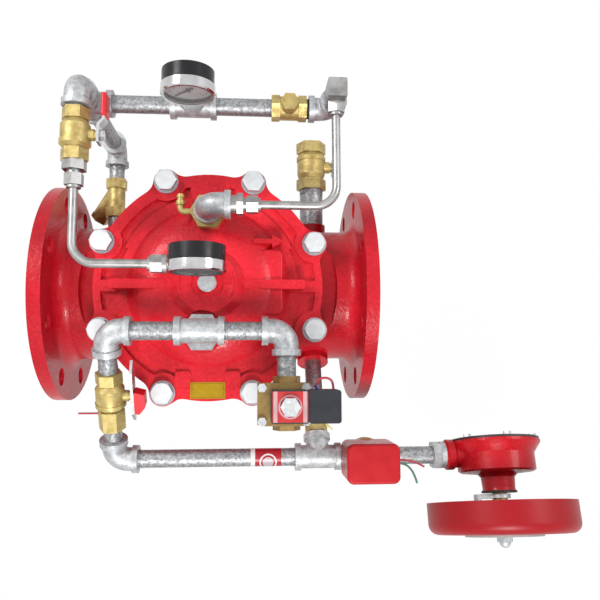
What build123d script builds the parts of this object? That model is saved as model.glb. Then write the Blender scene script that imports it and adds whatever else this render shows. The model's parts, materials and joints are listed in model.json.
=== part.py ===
"""Deluge valve with its trim, alarm line and water motor gong.

The origin is the centre of the inlet flange face. +X follows the flow, +Y is the back and +Z is up.
Each piece is a solid of its own, and each node holds one piece or a group of like pieces.
"""
from build123d import *
import os
from math import cos, radians, sin, tan

# Driving dimensions, in millimetres

# Valve body with PN16 flanges
NOMINAL_BORE = 150
FACE_TO_FACE = 415
FLANGE_OD = 285
FLANGE_THICKNESS = 19
RAISED_FACE = 3
RAISED_FACE_MARGIN = 14.5
FLANGE_BOLT_INSET = 22.5
FLANGE_BOLTS = 8
INLET_BOLT_HOLE = 23
OUTLET_BOLT_HOLE = 23.4
NECK_OD = 176
NECK_FILLET = 16
BOWL_OD = 276
BOWL_DEPTH = 104
COVER_SEAT_HEIGHT = 75
COVER_SEAT_THICKNESS = 22
CHAMBER_OD = 208
CHAMBER_FLOOR = 16
LOWER_CHAMBER_OD = 150
LOWER_CHAMBER_ROOF = -20
LOWER_CHAMBER_FLOOR = -84
PASSAGE_NARROW_R = 32
INLET_NARROW_X = 58
INLET_DROP = 50
OUTLET_NARROW_X = 78
OUTLET_RISE = 30
SUPPLY_BOSS = (14.5, 50)
DRAIN_BOSS = (20, 60)
ALARM_BOSS = (20.5, 42)

# Cover and its bolts
DIAPHRAGM_THICKNESS = 4
COVER_FLANGE_THICKNESS = 22
COVER_OD = 280
COVER_BOLT_OUT = 0.5
COVER_BOLTS = 8
COVER_EAR_R = 16
COVER_EAR_FILLET = 20
COVER_BOLT = 16
COVER_BOLT_FLATS = 24
COVER_BOLT_HEAD = 10
WASHER_OD = 30
WASHER_THICKNESS = 2.5
POCKET_DEPTH = 6
POCKET_MARGIN = 14
POCKET_SIDE_MARGIN = 9
POCKET_SIDE_RIB = 14
COVER_RIM = 31
DOME_TOP = 123
COVER_WALL = 11
HUB_OD = 76
HUB_HEIGHT = 132
HUB_BOSS_OD = 22
GAUGE_PORT_R = 6.85
HUB_RIM = 5
RIB_WIDTH = 11
PORT_BOSS_HEIGHT = 122
PILLAR = (40, 66)
PLATEAU = (62, 80)
PLATEAU_TOP = 119
PLATEAU_RIGHT_X = 90
ARROW_LENGTH = 36
NAMEPLATE = (42, 20)
PAD_SIZE = 18

# Disc assembly
SEAT_BORE = 120
SEAT_TOP = 25
DISC_LIFT = 20
DISC_SEAL_THICKNESS = 6
LOWER_PLATE_OD = 142
LOWER_PLATE_THICKNESS = 18
UPPER_PLATE_OD = 150
UPPER_PLATE_THICKNESS = 8
STEM_OD = 20
STEM_TOP = 106
STEM_NUT_FLATS = 32
STEM_NUT_HEIGHT = 12
STEM_BUSH_WALL = 4
STEM_BUSH_LOW = 95
STEM_BUSH_LENGTH = 17
SPRING_MEAN_R = 38
SPRING_WIRE = 5
SPRING_TURNS = 3

# Half inch pipe and its fittings
PIPE_OD = 21.3
PIPE_BORE = 16
FITTING_REACH = 28
FITTING_OD = 28
FITTING_BEND = 17
BAND_OD = 33
BAND_WIDTH = 7
SCREW_IN = 12
CLOSE_NIPPLE = 3
GAUGE_REDUCER = 4

# One inch drain
DRAIN_PIPE_OD = 33.7
DRAIN_PIPE_BORE = 27
DRAIN_PIPE_SHOWN = 54

# Steel tube and compression fittings
TUBE_OD = 10
TUBE_WALL = 1.5
TUBE_BEND = 24
TUBE_NUT_FLATS = 19
TUBE_NUT_LENGTH = 16

# Places of the ports, from the valve centre; the levels are above the flow axis
SUPPLY_X = -145
SUPPLY_FACE_Y = 96
SUPPLY_Z = -45
BACK_LINE_Y = 221
TOP_LINE_Z = 118
LINE_GAUGE_X = -20
CHECK_START_X = 76
CHECK_LENGTH = 43
DRAIN_X = 140
DRAIN_FACE_Y = 108
DRAIN_Z = -45
COVER_GAUGE_X = -4
COVER_GAUGE_Y = 15
GAUGE_PORT_BEHIND = 4
RETURN_PORT_Y = 86
LOOP_X = -6
LOOP_Y = -58
LOOP_LEFT_X = -110
LOOP_RIGHT_X = 92
RELEASE_SLOPE = 25
RELEASE_RUN = 166
ALARM_TEE_X = 134
ALARM_SLOPE = 28
ALARM_BRANCH = 130
SWITCH_X = 191
MOTOR_X = 357
MOTOR_TILT = 13.5

# Strainer, ball valves, check valve
STRAINER_LENGTH = 56
STRAINER_FLATS = 27
STRAINER_BRANCH = 40
STRAINER_ROLL = 35
BALL_VALVE_LENGTH = 60
BALL_VALVE_FLATS = 27
BALL_OD = 24
DRAIN_VALVE_LENGTH = 71
DRAIN_VALVE_FLATS = 38
DRAIN_BALL_OD = 32
LEVER_THICKNESS = 3
LEVER_WIDTH = 16
LEVER_START = 10
LEVER_STEP = 6
LEVER_LENGTH = 46
DRAIN_LEVER_WIDTH = 18
DRAIN_LEVER_LENGTH = 44
GRIP_EXTRA = 3.5
HANDLE_UP = 44
HANDLE_DOWN = 33
HANDLE_WIDTH = 17
HANDLE_GRIP_OUT = 12.5
CHECK_CAP_FLATS = 20
FLAP_OD = 17

# Gauges
GAUGE_OD = 59
GAUGE_DEPTH = 28
GAUGE_FRONT = 17
GAUGE_BEZEL_OD = 61.5
GAUGE_BEZEL_DEPTH = 11
GAUGE_WALL = 1.5
GAUGE_STEM_FLATS = 11

# Solenoid valve
SOLENOID_LENGTH = 60
SOLENOID_PORT_FLATS = 27
SOLENOID_BONNET = 46
COIL_WIDTH = 39
COIL_HEIGHT = 36
PLUNGER_OD = 9
PLUNGER_LIFT = 4

# Pressure switch
SWITCH_LENGTH = 53
SWITCH_BOX = (61, 45, 50)
SWITCH_WALL = 2

# Water motor and gong
MOTOR_OD = 94
MOTOR_LID_OD = 111
MOTOR_BACK = 15
MOTOR_FRONT = 22
MOTOR_NECK_OD = 39
MOTOR_NECK_END = 46
MOTOR_SPIGOT_OD = 37
MOTOR_SPIGOT_REACH = 65
MOTOR_LID_THICKNESS = 3
MOTOR_LID_BOLTS = 6
IMPELLER_OD = 74
IMPELLER_BLADES = 12
AXLE_OD = 10
SLEEVE_OD = 18
GONG_OD = 178
GONG_RIM = 57
GONG_DEPTH = 37
GONG_WALL = 3
GONG_CORNER = 12
STRIKER_REACH = 72
HAMMER_OD = 14

# Leads
LEAD_OD = 2.5

# Clearances
RUNNING_FIT = 0.05
SCREW_FIT = 0.1
SEAT_GAP = 0.3

# Directions
RIGHT = Vector(1, 0, 0)
LEFT = Vector(-1, 0, 0)
BACK = Vector(0, 1, 0)
FRONT = Vector(0, -1, 0)
UP = Vector(0, 0, 1)
DOWN = Vector(0, 0, -1)

# Values worked out from the sizes above
CENTRE = Vector(FACE_TO_FACE / 2, 0, 0)
FLANGE_BOLT_CIRCLE = FLANGE_OD - 2 * FLANGE_BOLT_INSET
RAISED_FACE_OD = FLANGE_BOLT_CIRCLE - 2 * RAISED_FACE_MARGIN
COVER_BOLT_CIRCLE = COVER_OD + 2 * COVER_BOLT_OUT
COVER_SEAT_OD = COVER_BOLT_CIRCLE + 2 * COVER_EAR_R
DOME_OD = COVER_OD - 2 * COVER_RIM
COVER_BASE = COVER_SEAT_HEIGHT + DIAPHRAGM_THICKNESS
COVER_FLANGE_TOP = COVER_BASE + COVER_FLANGE_THICKNESS
POCKET_FLOOR = COVER_FLANGE_TOP - POCKET_DEPTH
SOCKET_R = PIPE_OD / 2 + SCREW_FIT


def rod(radius, start, end):
    """Cylinder on the Z axis from one height to another."""
    return Pos(0, 0, start) * Cylinder(radius, end - start, align=(Align.CENTER, Align.CENTER, Align.MIN))


def ring(outer, inner, start, end):
    return rod(outer, start, end) - rod(inner, start, end)


def hexagon(across_flats, start, end):
    outline = RegularPolygon(across_flats / 2, 6, major_radius=False)
    return extrude(Plane.XY.offset(start) * outline, end - start)


def block(x_size, y_size, start, end):
    return Pos(0, 0, start) * Box(x_size, y_size, end - start, align=(Align.CENTER, Align.CENTER, Align.MIN))


def placed(shape, start, direction, side=None):
    """Sets a shape that was made along +Z so that it starts at a point and runs along a direction."""
    across = side or (UP if abs(direction.Z) < 0.9 else RIGHT)
    return Plane(origin=start, x_dir=across, z_dir=direction).location * shape


def bent_rod(points, radius, bend):
    """Round bar through the points, its corners rounded to one bend radius."""
    path = FilletPolyline(*points, radius=bend)
    return sweep(Plane(origin=path @ 0, z_dir=path % 0) * Circle(radius), path=path)


def turned(outline):
    """Solid of revolution about Z, from (radius, height) corners."""
    corners = [(radius, 0, height) for radius, height in outline]
    return revolve(make_face(Polyline(*corners, close=True)), Axis.Z)


# Valve body

def flange_and_neck(bolt_hole):
    """Outer form of one end, along +Z from the raised face to the middle of the valve."""
    neck_r = NECK_OD / 2
    inner = FLANGE_THICKNESS
    with BuildSketch(Plane.XZ) as half:
        with BuildLine():
            Polyline(
                (neck_r, inner + NECK_FILLET), (neck_r, FACE_TO_FACE / 2), (0, FACE_TO_FACE / 2), (0, 0),
                (RAISED_FACE_OD / 2, 0), (RAISED_FACE_OD / 2, RAISED_FACE), (FLANGE_OD / 2, RAISED_FACE),
                (FLANGE_OD / 2, inner), (neck_r + NECK_FILLET, inner),
            )
            RadiusArc((neck_r + NECK_FILLET, inner), (neck_r, inner + NECK_FILLET), NECK_FILLET)
        make_face()
    end = revolve(half.sketch, Axis.Z)
    for index in range(FLANGE_BOLTS):
        hole = rod(bolt_hole / 2, 0, inner)
        end -= Rot(0, 0, 360 / FLANGE_BOLTS * (index + 0.5)) * Pos(FLANGE_BOLT_CIRCLE / 2, 0, 0) * hole
    return end


def bowl():
    """Round casting under the cover: a bulging underside that widens to the cover seat."""
    top = COVER_SEAT_HEIGHT - COVER_SEAT_THICKNESS
    bottom_r = BOWL_OD * 0.14
    with BuildSketch(Plane.XZ) as half:
        with BuildLine():
            ThreePointArc((bottom_r, -BOWL_DEPTH), (BOWL_OD * 0.385, -BOWL_DEPTH * 0.58), (BOWL_OD * 0.48, 12))
            Polyline(
                (BOWL_OD * 0.48, 12), (BOWL_OD / 2, top), (0, top), (0, -BOWL_DEPTH), (bottom_r, -BOWL_DEPTH),
            )
        make_face()
    seat = extrude(Plane.XY.offset(top) * seat_outline(), COVER_SEAT_THICKNESS)
    return revolve(half.sketch, Axis.Z) + seat


def cover_outline():
    """Round plate with an ear round each bolt, the corners between them filled with arcs."""
    outline = Circle(COVER_OD / 2)
    for index in range(COVER_BOLTS):
        turn = Rot(0, 0, 360 / COVER_BOLTS * (index + 0.5))
        outline += turn * Pos(COVER_BOLT_CIRCLE / 2, 0) * Circle(COVER_EAR_R)
    return offset(offset(outline, COVER_EAR_FILLET), -COVER_EAR_FILLET)


def seat_outline():
    """The cover's outline, filled out to a full circle towards both flanges."""
    ear_turn = radians(180 / COVER_BOLTS)
    sides = Circle(COVER_SEAT_OD / 2) & Rectangle(COVER_SEAT_OD, COVER_SEAT_OD * sin(ear_turn))
    return cover_outline() + sides


def passage(mouth_x, narrow_x, narrow_z):
    """Water way that narrows from a flange to the chamber beside the partition."""
    mouth = Plane(origin=(mouth_x, 0, 0), x_dir=(0, 1, 0), z_dir=(1, 0, 0)) * Circle(NOMINAL_BORE / 2)
    narrow = Plane(origin=(narrow_x, 0, narrow_z), x_dir=(0, 1, 0), z_dir=(1, 0, 0)) * Circle(PASSAGE_NARROW_R)
    return loft([mouth, narrow], ruled=True)


def port_boss(face, direction, boss_r, depth):
    """Round boss that starts inside the casting and ends at the port face."""
    return placed(rod(boss_r, 0, depth), face - direction * depth, direction)


def port_hole(face, direction, pipe_r, way_r, depth):
    screwed = rod(pipe_r + SCREW_FIT, 0, SCREW_IN)
    drilled = rod(way_r, 0, depth)
    return placed(screwed + drilled, face, direction * -1)


SUPPLY_PORT = CENTRE + Vector(SUPPLY_X, SUPPLY_FACE_Y, SUPPLY_Z)
DRAIN_PORT = CENTRE + Vector(DRAIN_X, DRAIN_FACE_Y, DRAIN_Z)
LOOP_CENTRE = CENTRE + Vector(LOOP_X, LOOP_Y, PORT_BOSS_HEIGHT + 10 + FITTING_REACH)
RELEASE_CORNER = Vector(CENTRE.X + LOOP_LEFT_X, LOOP_CENTRE.Y, LOOP_CENTRE.Z)
RELEASE_WAY = Vector(0, -cos(radians(RELEASE_SLOPE)), -sin(radians(RELEASE_SLOPE)))
ALARM_CORNER = RELEASE_CORNER + RELEASE_WAY * RELEASE_RUN
ALARM_TEE = Vector(CENTRE.X + ALARM_TEE_X, ALARM_CORNER.Y, ALARM_CORNER.Z)
ALARM_WAY = Vector(0, cos(radians(ALARM_SLOPE)), -sin(radians(ALARM_SLOPE)))
ALARM_PORT = ALARM_TEE + ALARM_WAY * ALARM_BRANCH


def cover_bolt_places(height):
    for index in range(COVER_BOLTS):
        angle = radians(360 / COVER_BOLTS * (index + 0.5))
        reach = COVER_BOLT_CIRCLE / 2
        yield CENTRE + Vector(reach * cos(angle), reach * sin(angle), height)


def valve_body():
    inlet = placed(flange_and_neck(INLET_BOLT_HOLE), Vector(0, 0, 0), RIGHT, UP)
    outlet = placed(flange_and_neck(OUTLET_BOLT_HOLE), Vector(FACE_TO_FACE, 0, 0), LEFT, UP)
    body = inlet + outlet + Pos(CENTRE) * bowl()
    body += port_boss(SUPPLY_PORT, BACK, *SUPPLY_BOSS)
    body += port_boss(DRAIN_PORT, BACK, *DRAIN_BOSS)
    body += port_boss(ALARM_PORT, ALARM_WAY * -1, *ALARM_BOSS)
    body -= Pos(CENTRE) * rod(COVER_SEAT_OD / 2 + 4, COVER_SEAT_HEIGHT, NECK_OD)
    chamber = rod(CHAMBER_OD / 2, CHAMBER_FLOOR, COVER_SEAT_HEIGHT)
    lower = rod(LOWER_CHAMBER_OD / 2, LOWER_CHAMBER_FLOOR, LOWER_CHAMBER_ROOF)
    lower = fillet(lower.edges(), 14)
    seat_hole = rod(SEAT_BORE / 2 + 8, LOWER_CHAMBER_ROOF - 1, CHAMBER_FLOOR)
    body -= Pos(CENTRE) * (chamber + lower + seat_hole)
    body -= passage(0, CENTRE.X - INLET_NARROW_X, -INLET_DROP)
    body -= passage(FACE_TO_FACE, CENTRE.X + OUTLET_NARROW_X, OUTLET_RISE)
    body -= port_hole(SUPPLY_PORT, BACK, PIPE_OD / 2, PIPE_BORE / 2, SUPPLY_BOSS[1])
    body -= port_hole(DRAIN_PORT, BACK, DRAIN_PIPE_OD / 2, DRAIN_PIPE_BORE / 2, DRAIN_BOSS[1])
    body -= port_hole(ALARM_PORT, ALARM_WAY * -1, PIPE_OD / 2, PIPE_BORE / 2, ALARM_BOSS[1] + 8)
    for place in cover_bolt_places(COVER_SEAT_HEIGHT - COVER_SEAT_THICKNESS):
        body -= Pos(place) * rod(COVER_BOLT / 2, 0, COVER_SEAT_THICKNESS)
    return body


def seat_ring():
    """Bronze ring in the partition, with the raised lip that the disc seal meets."""
    outer = SEAT_BORE / 2 + 8 - RUNNING_FIT
    inner = SEAT_BORE / 2
    floor = CHAMBER_FLOOR
    return Pos(CENTRE) * turned([
        (inner, LOWER_CHAMBER_ROOF + 2), (outer, LOWER_CHAMBER_ROOF + 2), (outer, floor),
        (outer + 8, floor), (outer + 8, floor + 4), (inner + 5, floor + 4), (inner + 3, SEAT_TOP),
        (inner, SEAT_TOP),
    ])


# Cover

def cover_pockets():
    """Recesses in the rim between the ears: wider ones, split by a rib, towards both flanges."""
    low, high = POCKET_FLOOR, COVER_FLANGE_TOP
    pockets = ring(COVER_OD / 2 - POCKET_MARGIN, DOME_OD / 2 + 4, low, high)
    wide = ring(COVER_OD / 2 - POCKET_SIDE_MARGIN, DOME_OD / 2, low, high) & block(COVER_OD, COVER_OD / 3, low, high)
    pockets += wide
    pockets -= block(COVER_OD, POCKET_SIDE_RIB, low, high)
    for index in range(COVER_BOLTS):
        turn = Rot(0, 0, 360 / COVER_BOLTS * (index + 0.5))
        pockets -= turn * Pos(COVER_BOLT_CIRCLE / 2, 0, 0) * rod(COVER_EAR_R + 8, low, high)
    pockets -= Pos(0, -COVER_OD / 2, 0) * block(NAMEPLATE[0] * 2, 3 * NAMEPLATE[1], low, high)
    pockets -= Pos(0, COVER_OD / 2, 0) * block(PILLAR[0] + 8, PILLAR[1], low, high)
    return pockets


def flow_arrow():
    """Raised arrow that points along the flow, on the right side of the dome."""
    stem_half, head_half, head = 3, 8, 13
    outline = Polyline(
        (0, -stem_half), (ARROW_LENGTH - head, -stem_half), (ARROW_LENGTH - head, -head_half), (ARROW_LENGTH, 0),
        (ARROW_LENGTH - head, head_half), (ARROW_LENGTH - head, stem_half), (0, stem_half), close=True,
    )
    return extrude(Plane.XY.offset(COVER_FLANGE_TOP) * make_face(outline), PLATEAU_TOP + 2 - COVER_FLANGE_TOP)


def cover():
    plate = extrude(Plane.XY.offset(COVER_BASE) * cover_outline(), COVER_FLANGE_THICKNESS)
    plate -= cover_pockets()
    with BuildSketch(Plane.XZ) as half:
        with BuildLine():
            ThreePointArc((DOME_OD / 2, COVER_BASE + 4), (DOME_OD * 0.42, 109), (HUB_OD / 2 + 6, DOME_TOP))
            Polyline(
                (HUB_OD / 2 + 6, DOME_TOP), (HUB_OD / 2, HUB_HEIGHT - 3), (HUB_OD / 2 - 3, HUB_HEIGHT),
                (0, HUB_HEIGHT), (0, COVER_BASE), (DOME_OD / 2, COVER_BASE), (DOME_OD / 2, COVER_BASE + 4),
            )
        make_face()
    dome = revolve(half.sketch, Axis.Z)
    solid = plate + dome
    inside_low = COVER_BASE + 10
    for side in (-1, 1):
        rib = block(DOME_OD / 2, RIB_WIDTH, inside_low, DOME_TOP + 1)
        solid += Pos(side * (DOME_OD / 4 + 8), 0, 0) * fillet(rib.edges().filter_by(Axis.Z), 4)
    plateau = block(*PLATEAU, inside_low, PLATEAU_TOP)
    plateau = fillet(plateau.edges().filter_by(Axis.Z), 8)
    plateau = fillet(plateau.faces().sort_by(Axis.Z)[-1].edges(), 2.5)
    solid += Pos(PLATEAU_RIGHT_X - PLATEAU[0] / 2, 3, 0) * plateau
    solid += Pos(PLATEAU_RIGHT_X - ARROW_LENGTH, PLATEAU[1] / 2 + 13, 0) * flow_arrow()
    pillar = block(*PILLAR, inside_low, PORT_BOSS_HEIGHT)
    solid += Pos(0, RETURN_PORT_Y, 0) * fillet(pillar.edges().filter_by(Axis.Z), 3)
    solid += Pos(LOOP_X, LOOP_Y, 0) * rod(25, inside_low, PORT_BOSS_HEIGHT)
    solid -= Pos(0, RETURN_PORT_Y, 0) * rod(23, PORT_BOSS_HEIGHT, HUB_HEIGHT)
    solid -= Pos(LOOP_X, LOOP_Y, 0) * rod(26, PORT_BOSS_HEIGHT, HUB_HEIGHT + 1)
    boss_r = HUB_BOSS_OD / 2
    solid -= ring(HUB_OD / 2 - HUB_RIM, boss_r, HUB_HEIGHT - 1.5, HUB_HEIGHT)
    solid -= ring(boss_r + 8, boss_r, HUB_HEIGHT - 3, HUB_HEIGHT)
    solid += rod(boss_r, HUB_HEIGHT - 5, HUB_HEIGHT + 2)
    gauge_port = Pos(COVER_GAUGE_X, COVER_GAUGE_Y + GAUGE_PORT_BEHIND, 0)
    solid += gauge_port * rod(GAUGE_PORT_R + 4, HUB_HEIGHT - 5, HUB_HEIGHT)
    for side in (-1, 1):
        pad = block(PAD_SIZE, PAD_SIZE, POCKET_FLOOR, COVER_FLANGE_TOP + 4)
        pad = fillet(pad.edges().filter_by(Axis.Z), 3)
        solid += Pos(side * (NAMEPLATE[0] + PAD_SIZE) / 2, -COVER_OD / 2 + NAMEPLATE[1] + 7, 0) * pad
    inner_top = DOME_TOP - COVER_WALL
    with BuildSketch(Plane.XZ) as hollow:
        with BuildLine():
            ThreePointArc((CHAMBER_OD / 2 - 6, COVER_BASE), (DOME_OD * 0.37, 104), (HUB_OD / 2, inner_top))
            Polyline(
                (HUB_OD / 2, inner_top), (0, inner_top), (0, COVER_BASE), (CHAMBER_OD / 2 - 6, COVER_BASE),
            )
        make_face()
    solid -= revolve(hollow.sketch, Axis.Z)
    bush_r = STEM_OD / 2 + STEM_BUSH_WALL
    solid += rod(bush_r + 8, STEM_BUSH_LOW, inner_top + 2)
    pocket_top = STEM_TOP + DISC_LIFT + 1
    solid -= rod(bush_r, STEM_BUSH_LOW, STEM_BUSH_LOW + STEM_BUSH_LENGTH)
    solid -= rod(STEM_OD / 2 + 1, STEM_BUSH_LOW, pocket_top)
    solid -= rod(9, pocket_top - 1, HUB_HEIGHT + 2)
    solid -= gauge_port * rod(GAUGE_PORT_R + SCREW_FIT, HUB_HEIGHT - 12, HUB_HEIGHT)
    solid -= Pos(0, RETURN_PORT_Y, 0) * rod(SOCKET_R, COVER_BASE, PORT_BOSS_HEIGHT)
    solid -= Pos(LOOP_X, LOOP_Y, 0) * rod(SOCKET_R, COVER_BASE, PORT_BOSS_HEIGHT)
    for place in cover_bolt_places(COVER_BASE):
        solid -= Pos(place - CENTRE) * rod(COVER_BOLT / 2 + 0.75, 0, COVER_FLANGE_THICKNESS)
    return Pos(CENTRE) * solid


def cover_bolts():
    """Hexagon bolts and their washers, each a separate solid."""
    pieces = []
    washer_top = WASHER_THICKNESS
    shank_low = COVER_SEAT_HEIGHT - COVER_SEAT_THICKNESS + 2 - COVER_FLANGE_TOP
    for place in cover_bolt_places(COVER_FLANGE_TOP):
        head = hexagon(COVER_BOLT_FLATS, washer_top, washer_top + COVER_BOLT_HEAD)
        head = head & turned([
            (0, washer_top), (COVER_BOLT_FLATS * 0.58, washer_top),
            (COVER_BOLT_FLATS * 0.58, washer_top + COVER_BOLT_HEAD - 1.5),
            (COVER_BOLT_FLATS * 0.5, washer_top + COVER_BOLT_HEAD), (0, washer_top + COVER_BOLT_HEAD),
        ])
        shank = rod(COVER_BOLT / 2 - RUNNING_FIT, shank_low, washer_top)
        pieces.append(Pos(place) * (head + shank))
        pieces.append(Pos(place) * ring(WASHER_OD / 2, COVER_BOLT / 2 + 0.5, 0, washer_top))
    return pieces


def cover_plug():
    """Hexagon plug that closes the hub over the stem."""
    low = STEM_TOP + DISC_LIFT + 2
    base = HUB_HEIGHT + 2
    plug = rod(9 - RUNNING_FIT, low, base) + rod(HUB_BOSS_OD / 2, base, base + 3) + hexagon(19, base + 3, base + 8)
    return Pos(CENTRE) * plug


def stem_bush():
    bush_r = STEM_OD / 2 + STEM_BUSH_WALL
    low = STEM_BUSH_LOW
    return Pos(CENTRE) * ring(bush_r - RUNNING_FIT, STEM_OD / 2 + RUNNING_FIT, low, low + STEM_BUSH_LENGTH)


def nameplate():
    """Plain plate on the cover rim, between the two front bolts, with its two rivets."""
    middle_y = -COVER_OD / 2 + NAMEPLATE[1] / 2 + 3
    plate = Pos(0, middle_y, 0) * block(*NAMEPLATE, COVER_FLANGE_TOP, COVER_FLANGE_TOP + 0.8)
    pieces = []
    for side in (-1, 1):
        spot = Pos(side * (NAMEPLATE[0] / 2 - 3), middle_y, 0)
        plate -= spot * rod(1.5 + RUNNING_FIT, COVER_FLANGE_TOP, COVER_FLANGE_TOP + 0.8)
        rivet = rod(1.5, COVER_FLANGE_TOP, COVER_FLANGE_TOP + 0.8)
        rivet += rod(2.5, COVER_FLANGE_TOP + 0.8, COVER_FLANGE_TOP + 1.6)
        pieces.append(Pos(CENTRE) * spot * rivet)
    return [Pos(CENTRE) * plate] + pieces


# Disc assembly

SEAL_LOW = SEAT_TOP
PLATE_LOW = SEAL_LOW + DISC_SEAL_THICKNESS
PLATE_TOP = PLATE_LOW + LOWER_PLATE_THICKNESS
UPPER_LOW = PLATE_TOP + DIAPHRAGM_THICKNESS
UPPER_TOP = UPPER_LOW + UPPER_PLATE_THICKNESS


def diaphragm():
    """Rubber sheet, clamped at the rim and dished down to the plates in the middle."""
    t = DIAPHRAGM_THICKNESS
    hole = STEM_OD / 2 + 0.5
    rim = COVER_OD / 2 - 3
    bend_r = CHAMBER_OD / 2 - 10
    flat_r = UPPER_PLATE_OD / 2 + 3
    sheet = turned([
        (hole, PLATE_TOP), (flat_r, PLATE_TOP), (bend_r, COVER_SEAT_HEIGHT), (rim, COVER_SEAT_HEIGHT),
        (rim, COVER_BASE), (bend_r - 2, COVER_BASE), (flat_r - 2, UPPER_LOW), (hole, UPPER_LOW),
    ])
    for place in cover_bolt_places(COVER_SEAT_HEIGHT):
        sheet -= Pos(place - CENTRE) * rod(COVER_BOLT / 2 + 1, 0, t)
    return Pos(CENTRE) * sheet


def diaphragm_plates():
    hole = STEM_OD / 2 + RUNNING_FIT
    lower = turned([
        (hole, PLATE_LOW), (LOWER_PLATE_OD / 2, PLATE_LOW), (LOWER_PLATE_OD / 2, PLATE_LOW + 6),
        (LOWER_PLATE_OD / 2 - 12, PLATE_TOP), (hole, PLATE_TOP),
    ])
    upper = turned([
        (hole, UPPER_LOW), (UPPER_PLATE_OD / 2, UPPER_LOW), (UPPER_PLATE_OD / 2, UPPER_LOW + 3),
        (UPPER_PLATE_OD / 2 - 6, UPPER_TOP), (hole, UPPER_TOP),
    ])
    return [Pos(CENTRE) * lower, Pos(CENTRE) * upper]


def disc_seal():
    return Pos(CENTRE) * ring(LOWER_PLATE_OD / 2 - 2, SEAT_BORE / 2 - 8, SEAL_LOW + SEAT_GAP, PLATE_LOW)


def main_stem():
    """Stem with the collar that holds the seal, and the nut that clamps the plates."""
    collar_low = SEAL_LOW + SEAT_GAP
    stem = rod(SEAT_BORE / 2 - 8 - RUNNING_FIT, collar_low, PLATE_LOW) + rod(STEM_OD / 2, PLATE_LOW, STEM_TOP)
    stem += rod(16, collar_low - 10, collar_low)
    nut = hexagon(STEM_NUT_FLATS, UPPER_TOP, UPPER_TOP + STEM_NUT_HEIGHT)
    nut -= rod(STEM_OD / 2 + RUNNING_FIT, UPPER_TOP, UPPER_TOP + STEM_NUT_HEIGHT)
    return [Pos(CENTRE) * stem, Pos(CENTRE) * nut]


def closing_spring():
    """Round wire spring from the upper plate to the cover's inner face."""
    low = UPPER_TOP + SPRING_WIRE / 2 + SEAT_GAP
    high = DOME_TOP - COVER_WALL - SPRING_WIRE / 2 - SEAT_GAP
    path = Helix(pitch=(high - low) / SPRING_TURNS, height=high - low, radius=SPRING_MEAN_R)
    wire = sweep(Plane(origin=path @ 0, z_dir=path % 0) * Circle(SPRING_WIRE / 2), path=path, is_frenet=True)
    return Pos(CENTRE + UP * low) * wire


# Screwed pipe fittings

def pipe(start, direction, length, outer=PIPE_OD, inner=PIPE_BORE, first_in=SCREW_IN):
    """Pipe whose shown length starts at a point; its ends reach into the fittings on both sides."""
    body = ring(outer / 2, inner / 2, -first_in + SEAT_GAP, length + SCREW_IN - SEAT_GAP)
    return placed(body, start, direction)


def banded_arm():
    return rod(BAND_OD / 2, FITTING_REACH - BAND_WIDTH, FITTING_REACH)


def socket_hole():
    return rod(SOCKET_R, FITTING_REACH - SCREW_IN, FITTING_REACH)


def elbow(centre, first, second):
    """Banded elbow with its sockets towards two directions."""
    points = [(0, 0, FITTING_REACH), (0, 0, 0), (FITTING_REACH, 0, 0)]
    to_side = Rot(0, 90, 0)
    solid = bent_rod(points, FITTING_OD / 2, FITTING_BEND) + banded_arm() + to_side * banded_arm()
    solid -= bent_rod(points, PIPE_BORE / 2, FITTING_BEND)
    solid -= socket_hole()
    solid -= to_side * socket_hole()
    return placed(solid, centre, first, second)


def tee(centre, run, branch):
    to_side = Rot(0, 90, 0)
    back = Rot(180, 0, 0)
    half = rod(FITTING_OD / 2, 0, FITTING_REACH)
    way = rod(PIPE_BORE / 2, 0, FITTING_REACH)
    solid = half + back * half + to_side * half
    solid += banded_arm() + back * banded_arm() + to_side * banded_arm()
    solid -= way + back * way + to_side * way
    solid -= socket_hole()
    solid -= back * socket_hole()
    solid -= to_side * socket_hole()
    return placed(solid, centre, run, branch)


# Supply side: port, strainer, elbow, riser, tee, elbow, ball valve, tube, gauge block

STRAINER_START = SUPPLY_PORT + BACK * 21
STRAINER_END = STRAINER_START + BACK * STRAINER_LENGTH
SUPPLY_CORNER = Vector(SUPPLY_PORT.X, BACK_LINE_Y, SUPPLY_PORT.Z)
SUPPLY_TEE = Vector(SUPPLY_PORT.X, BACK_LINE_Y, TOP_LINE_Z)
UPPER_CORNER = SUPPLY_TEE + UP * (2 * FITTING_REACH + CLOSE_NIPPLE)
SUPPLY_VALVE = UPPER_CORNER + FRONT * (FITTING_REACH + CLOSE_NIPPLE)
SUPPLY_VALVE_END = SUPPLY_VALVE + FRONT * BALL_VALVE_LENGTH
LINE_GAUGE_TEE = Vector(CENTRE.X + LINE_GAUGE_X, BACK_LINE_Y, TOP_LINE_Z)
CHECK_START = Vector(CENTRE.X + CHECK_START_X, BACK_LINE_Y, TOP_LINE_Z)
CHECK_END = CHECK_START + RIGHT * CHECK_LENGTH
RETURN_CORNER = CHECK_END + RIGHT * (CLOSE_NIPPLE + FITTING_REACH)
BLOCK_BASE = RETURN_CORNER + UP * (FITTING_REACH + CLOSE_NIPPLE)
BLOCK_SIZE = 22
BLOCK_HEIGHT = 38
BLOCK_PORT = BLOCK_BASE + UP * 17
RETURN_ELBOW = Vector(CENTRE.X, RETURN_PORT_Y, BLOCK_PORT.Z)
RELEASE_VALVE = RELEASE_CORNER + RELEASE_WAY * 51
RELEASE_VALVE_END = RELEASE_VALVE + RELEASE_WAY * BALL_VALVE_LENGTH
RELEASE_UNION_LENGTH = 12
RELEASE_UNION_END = RELEASE_VALVE_END + RELEASE_WAY * RELEASE_UNION_LENGTH
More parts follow.
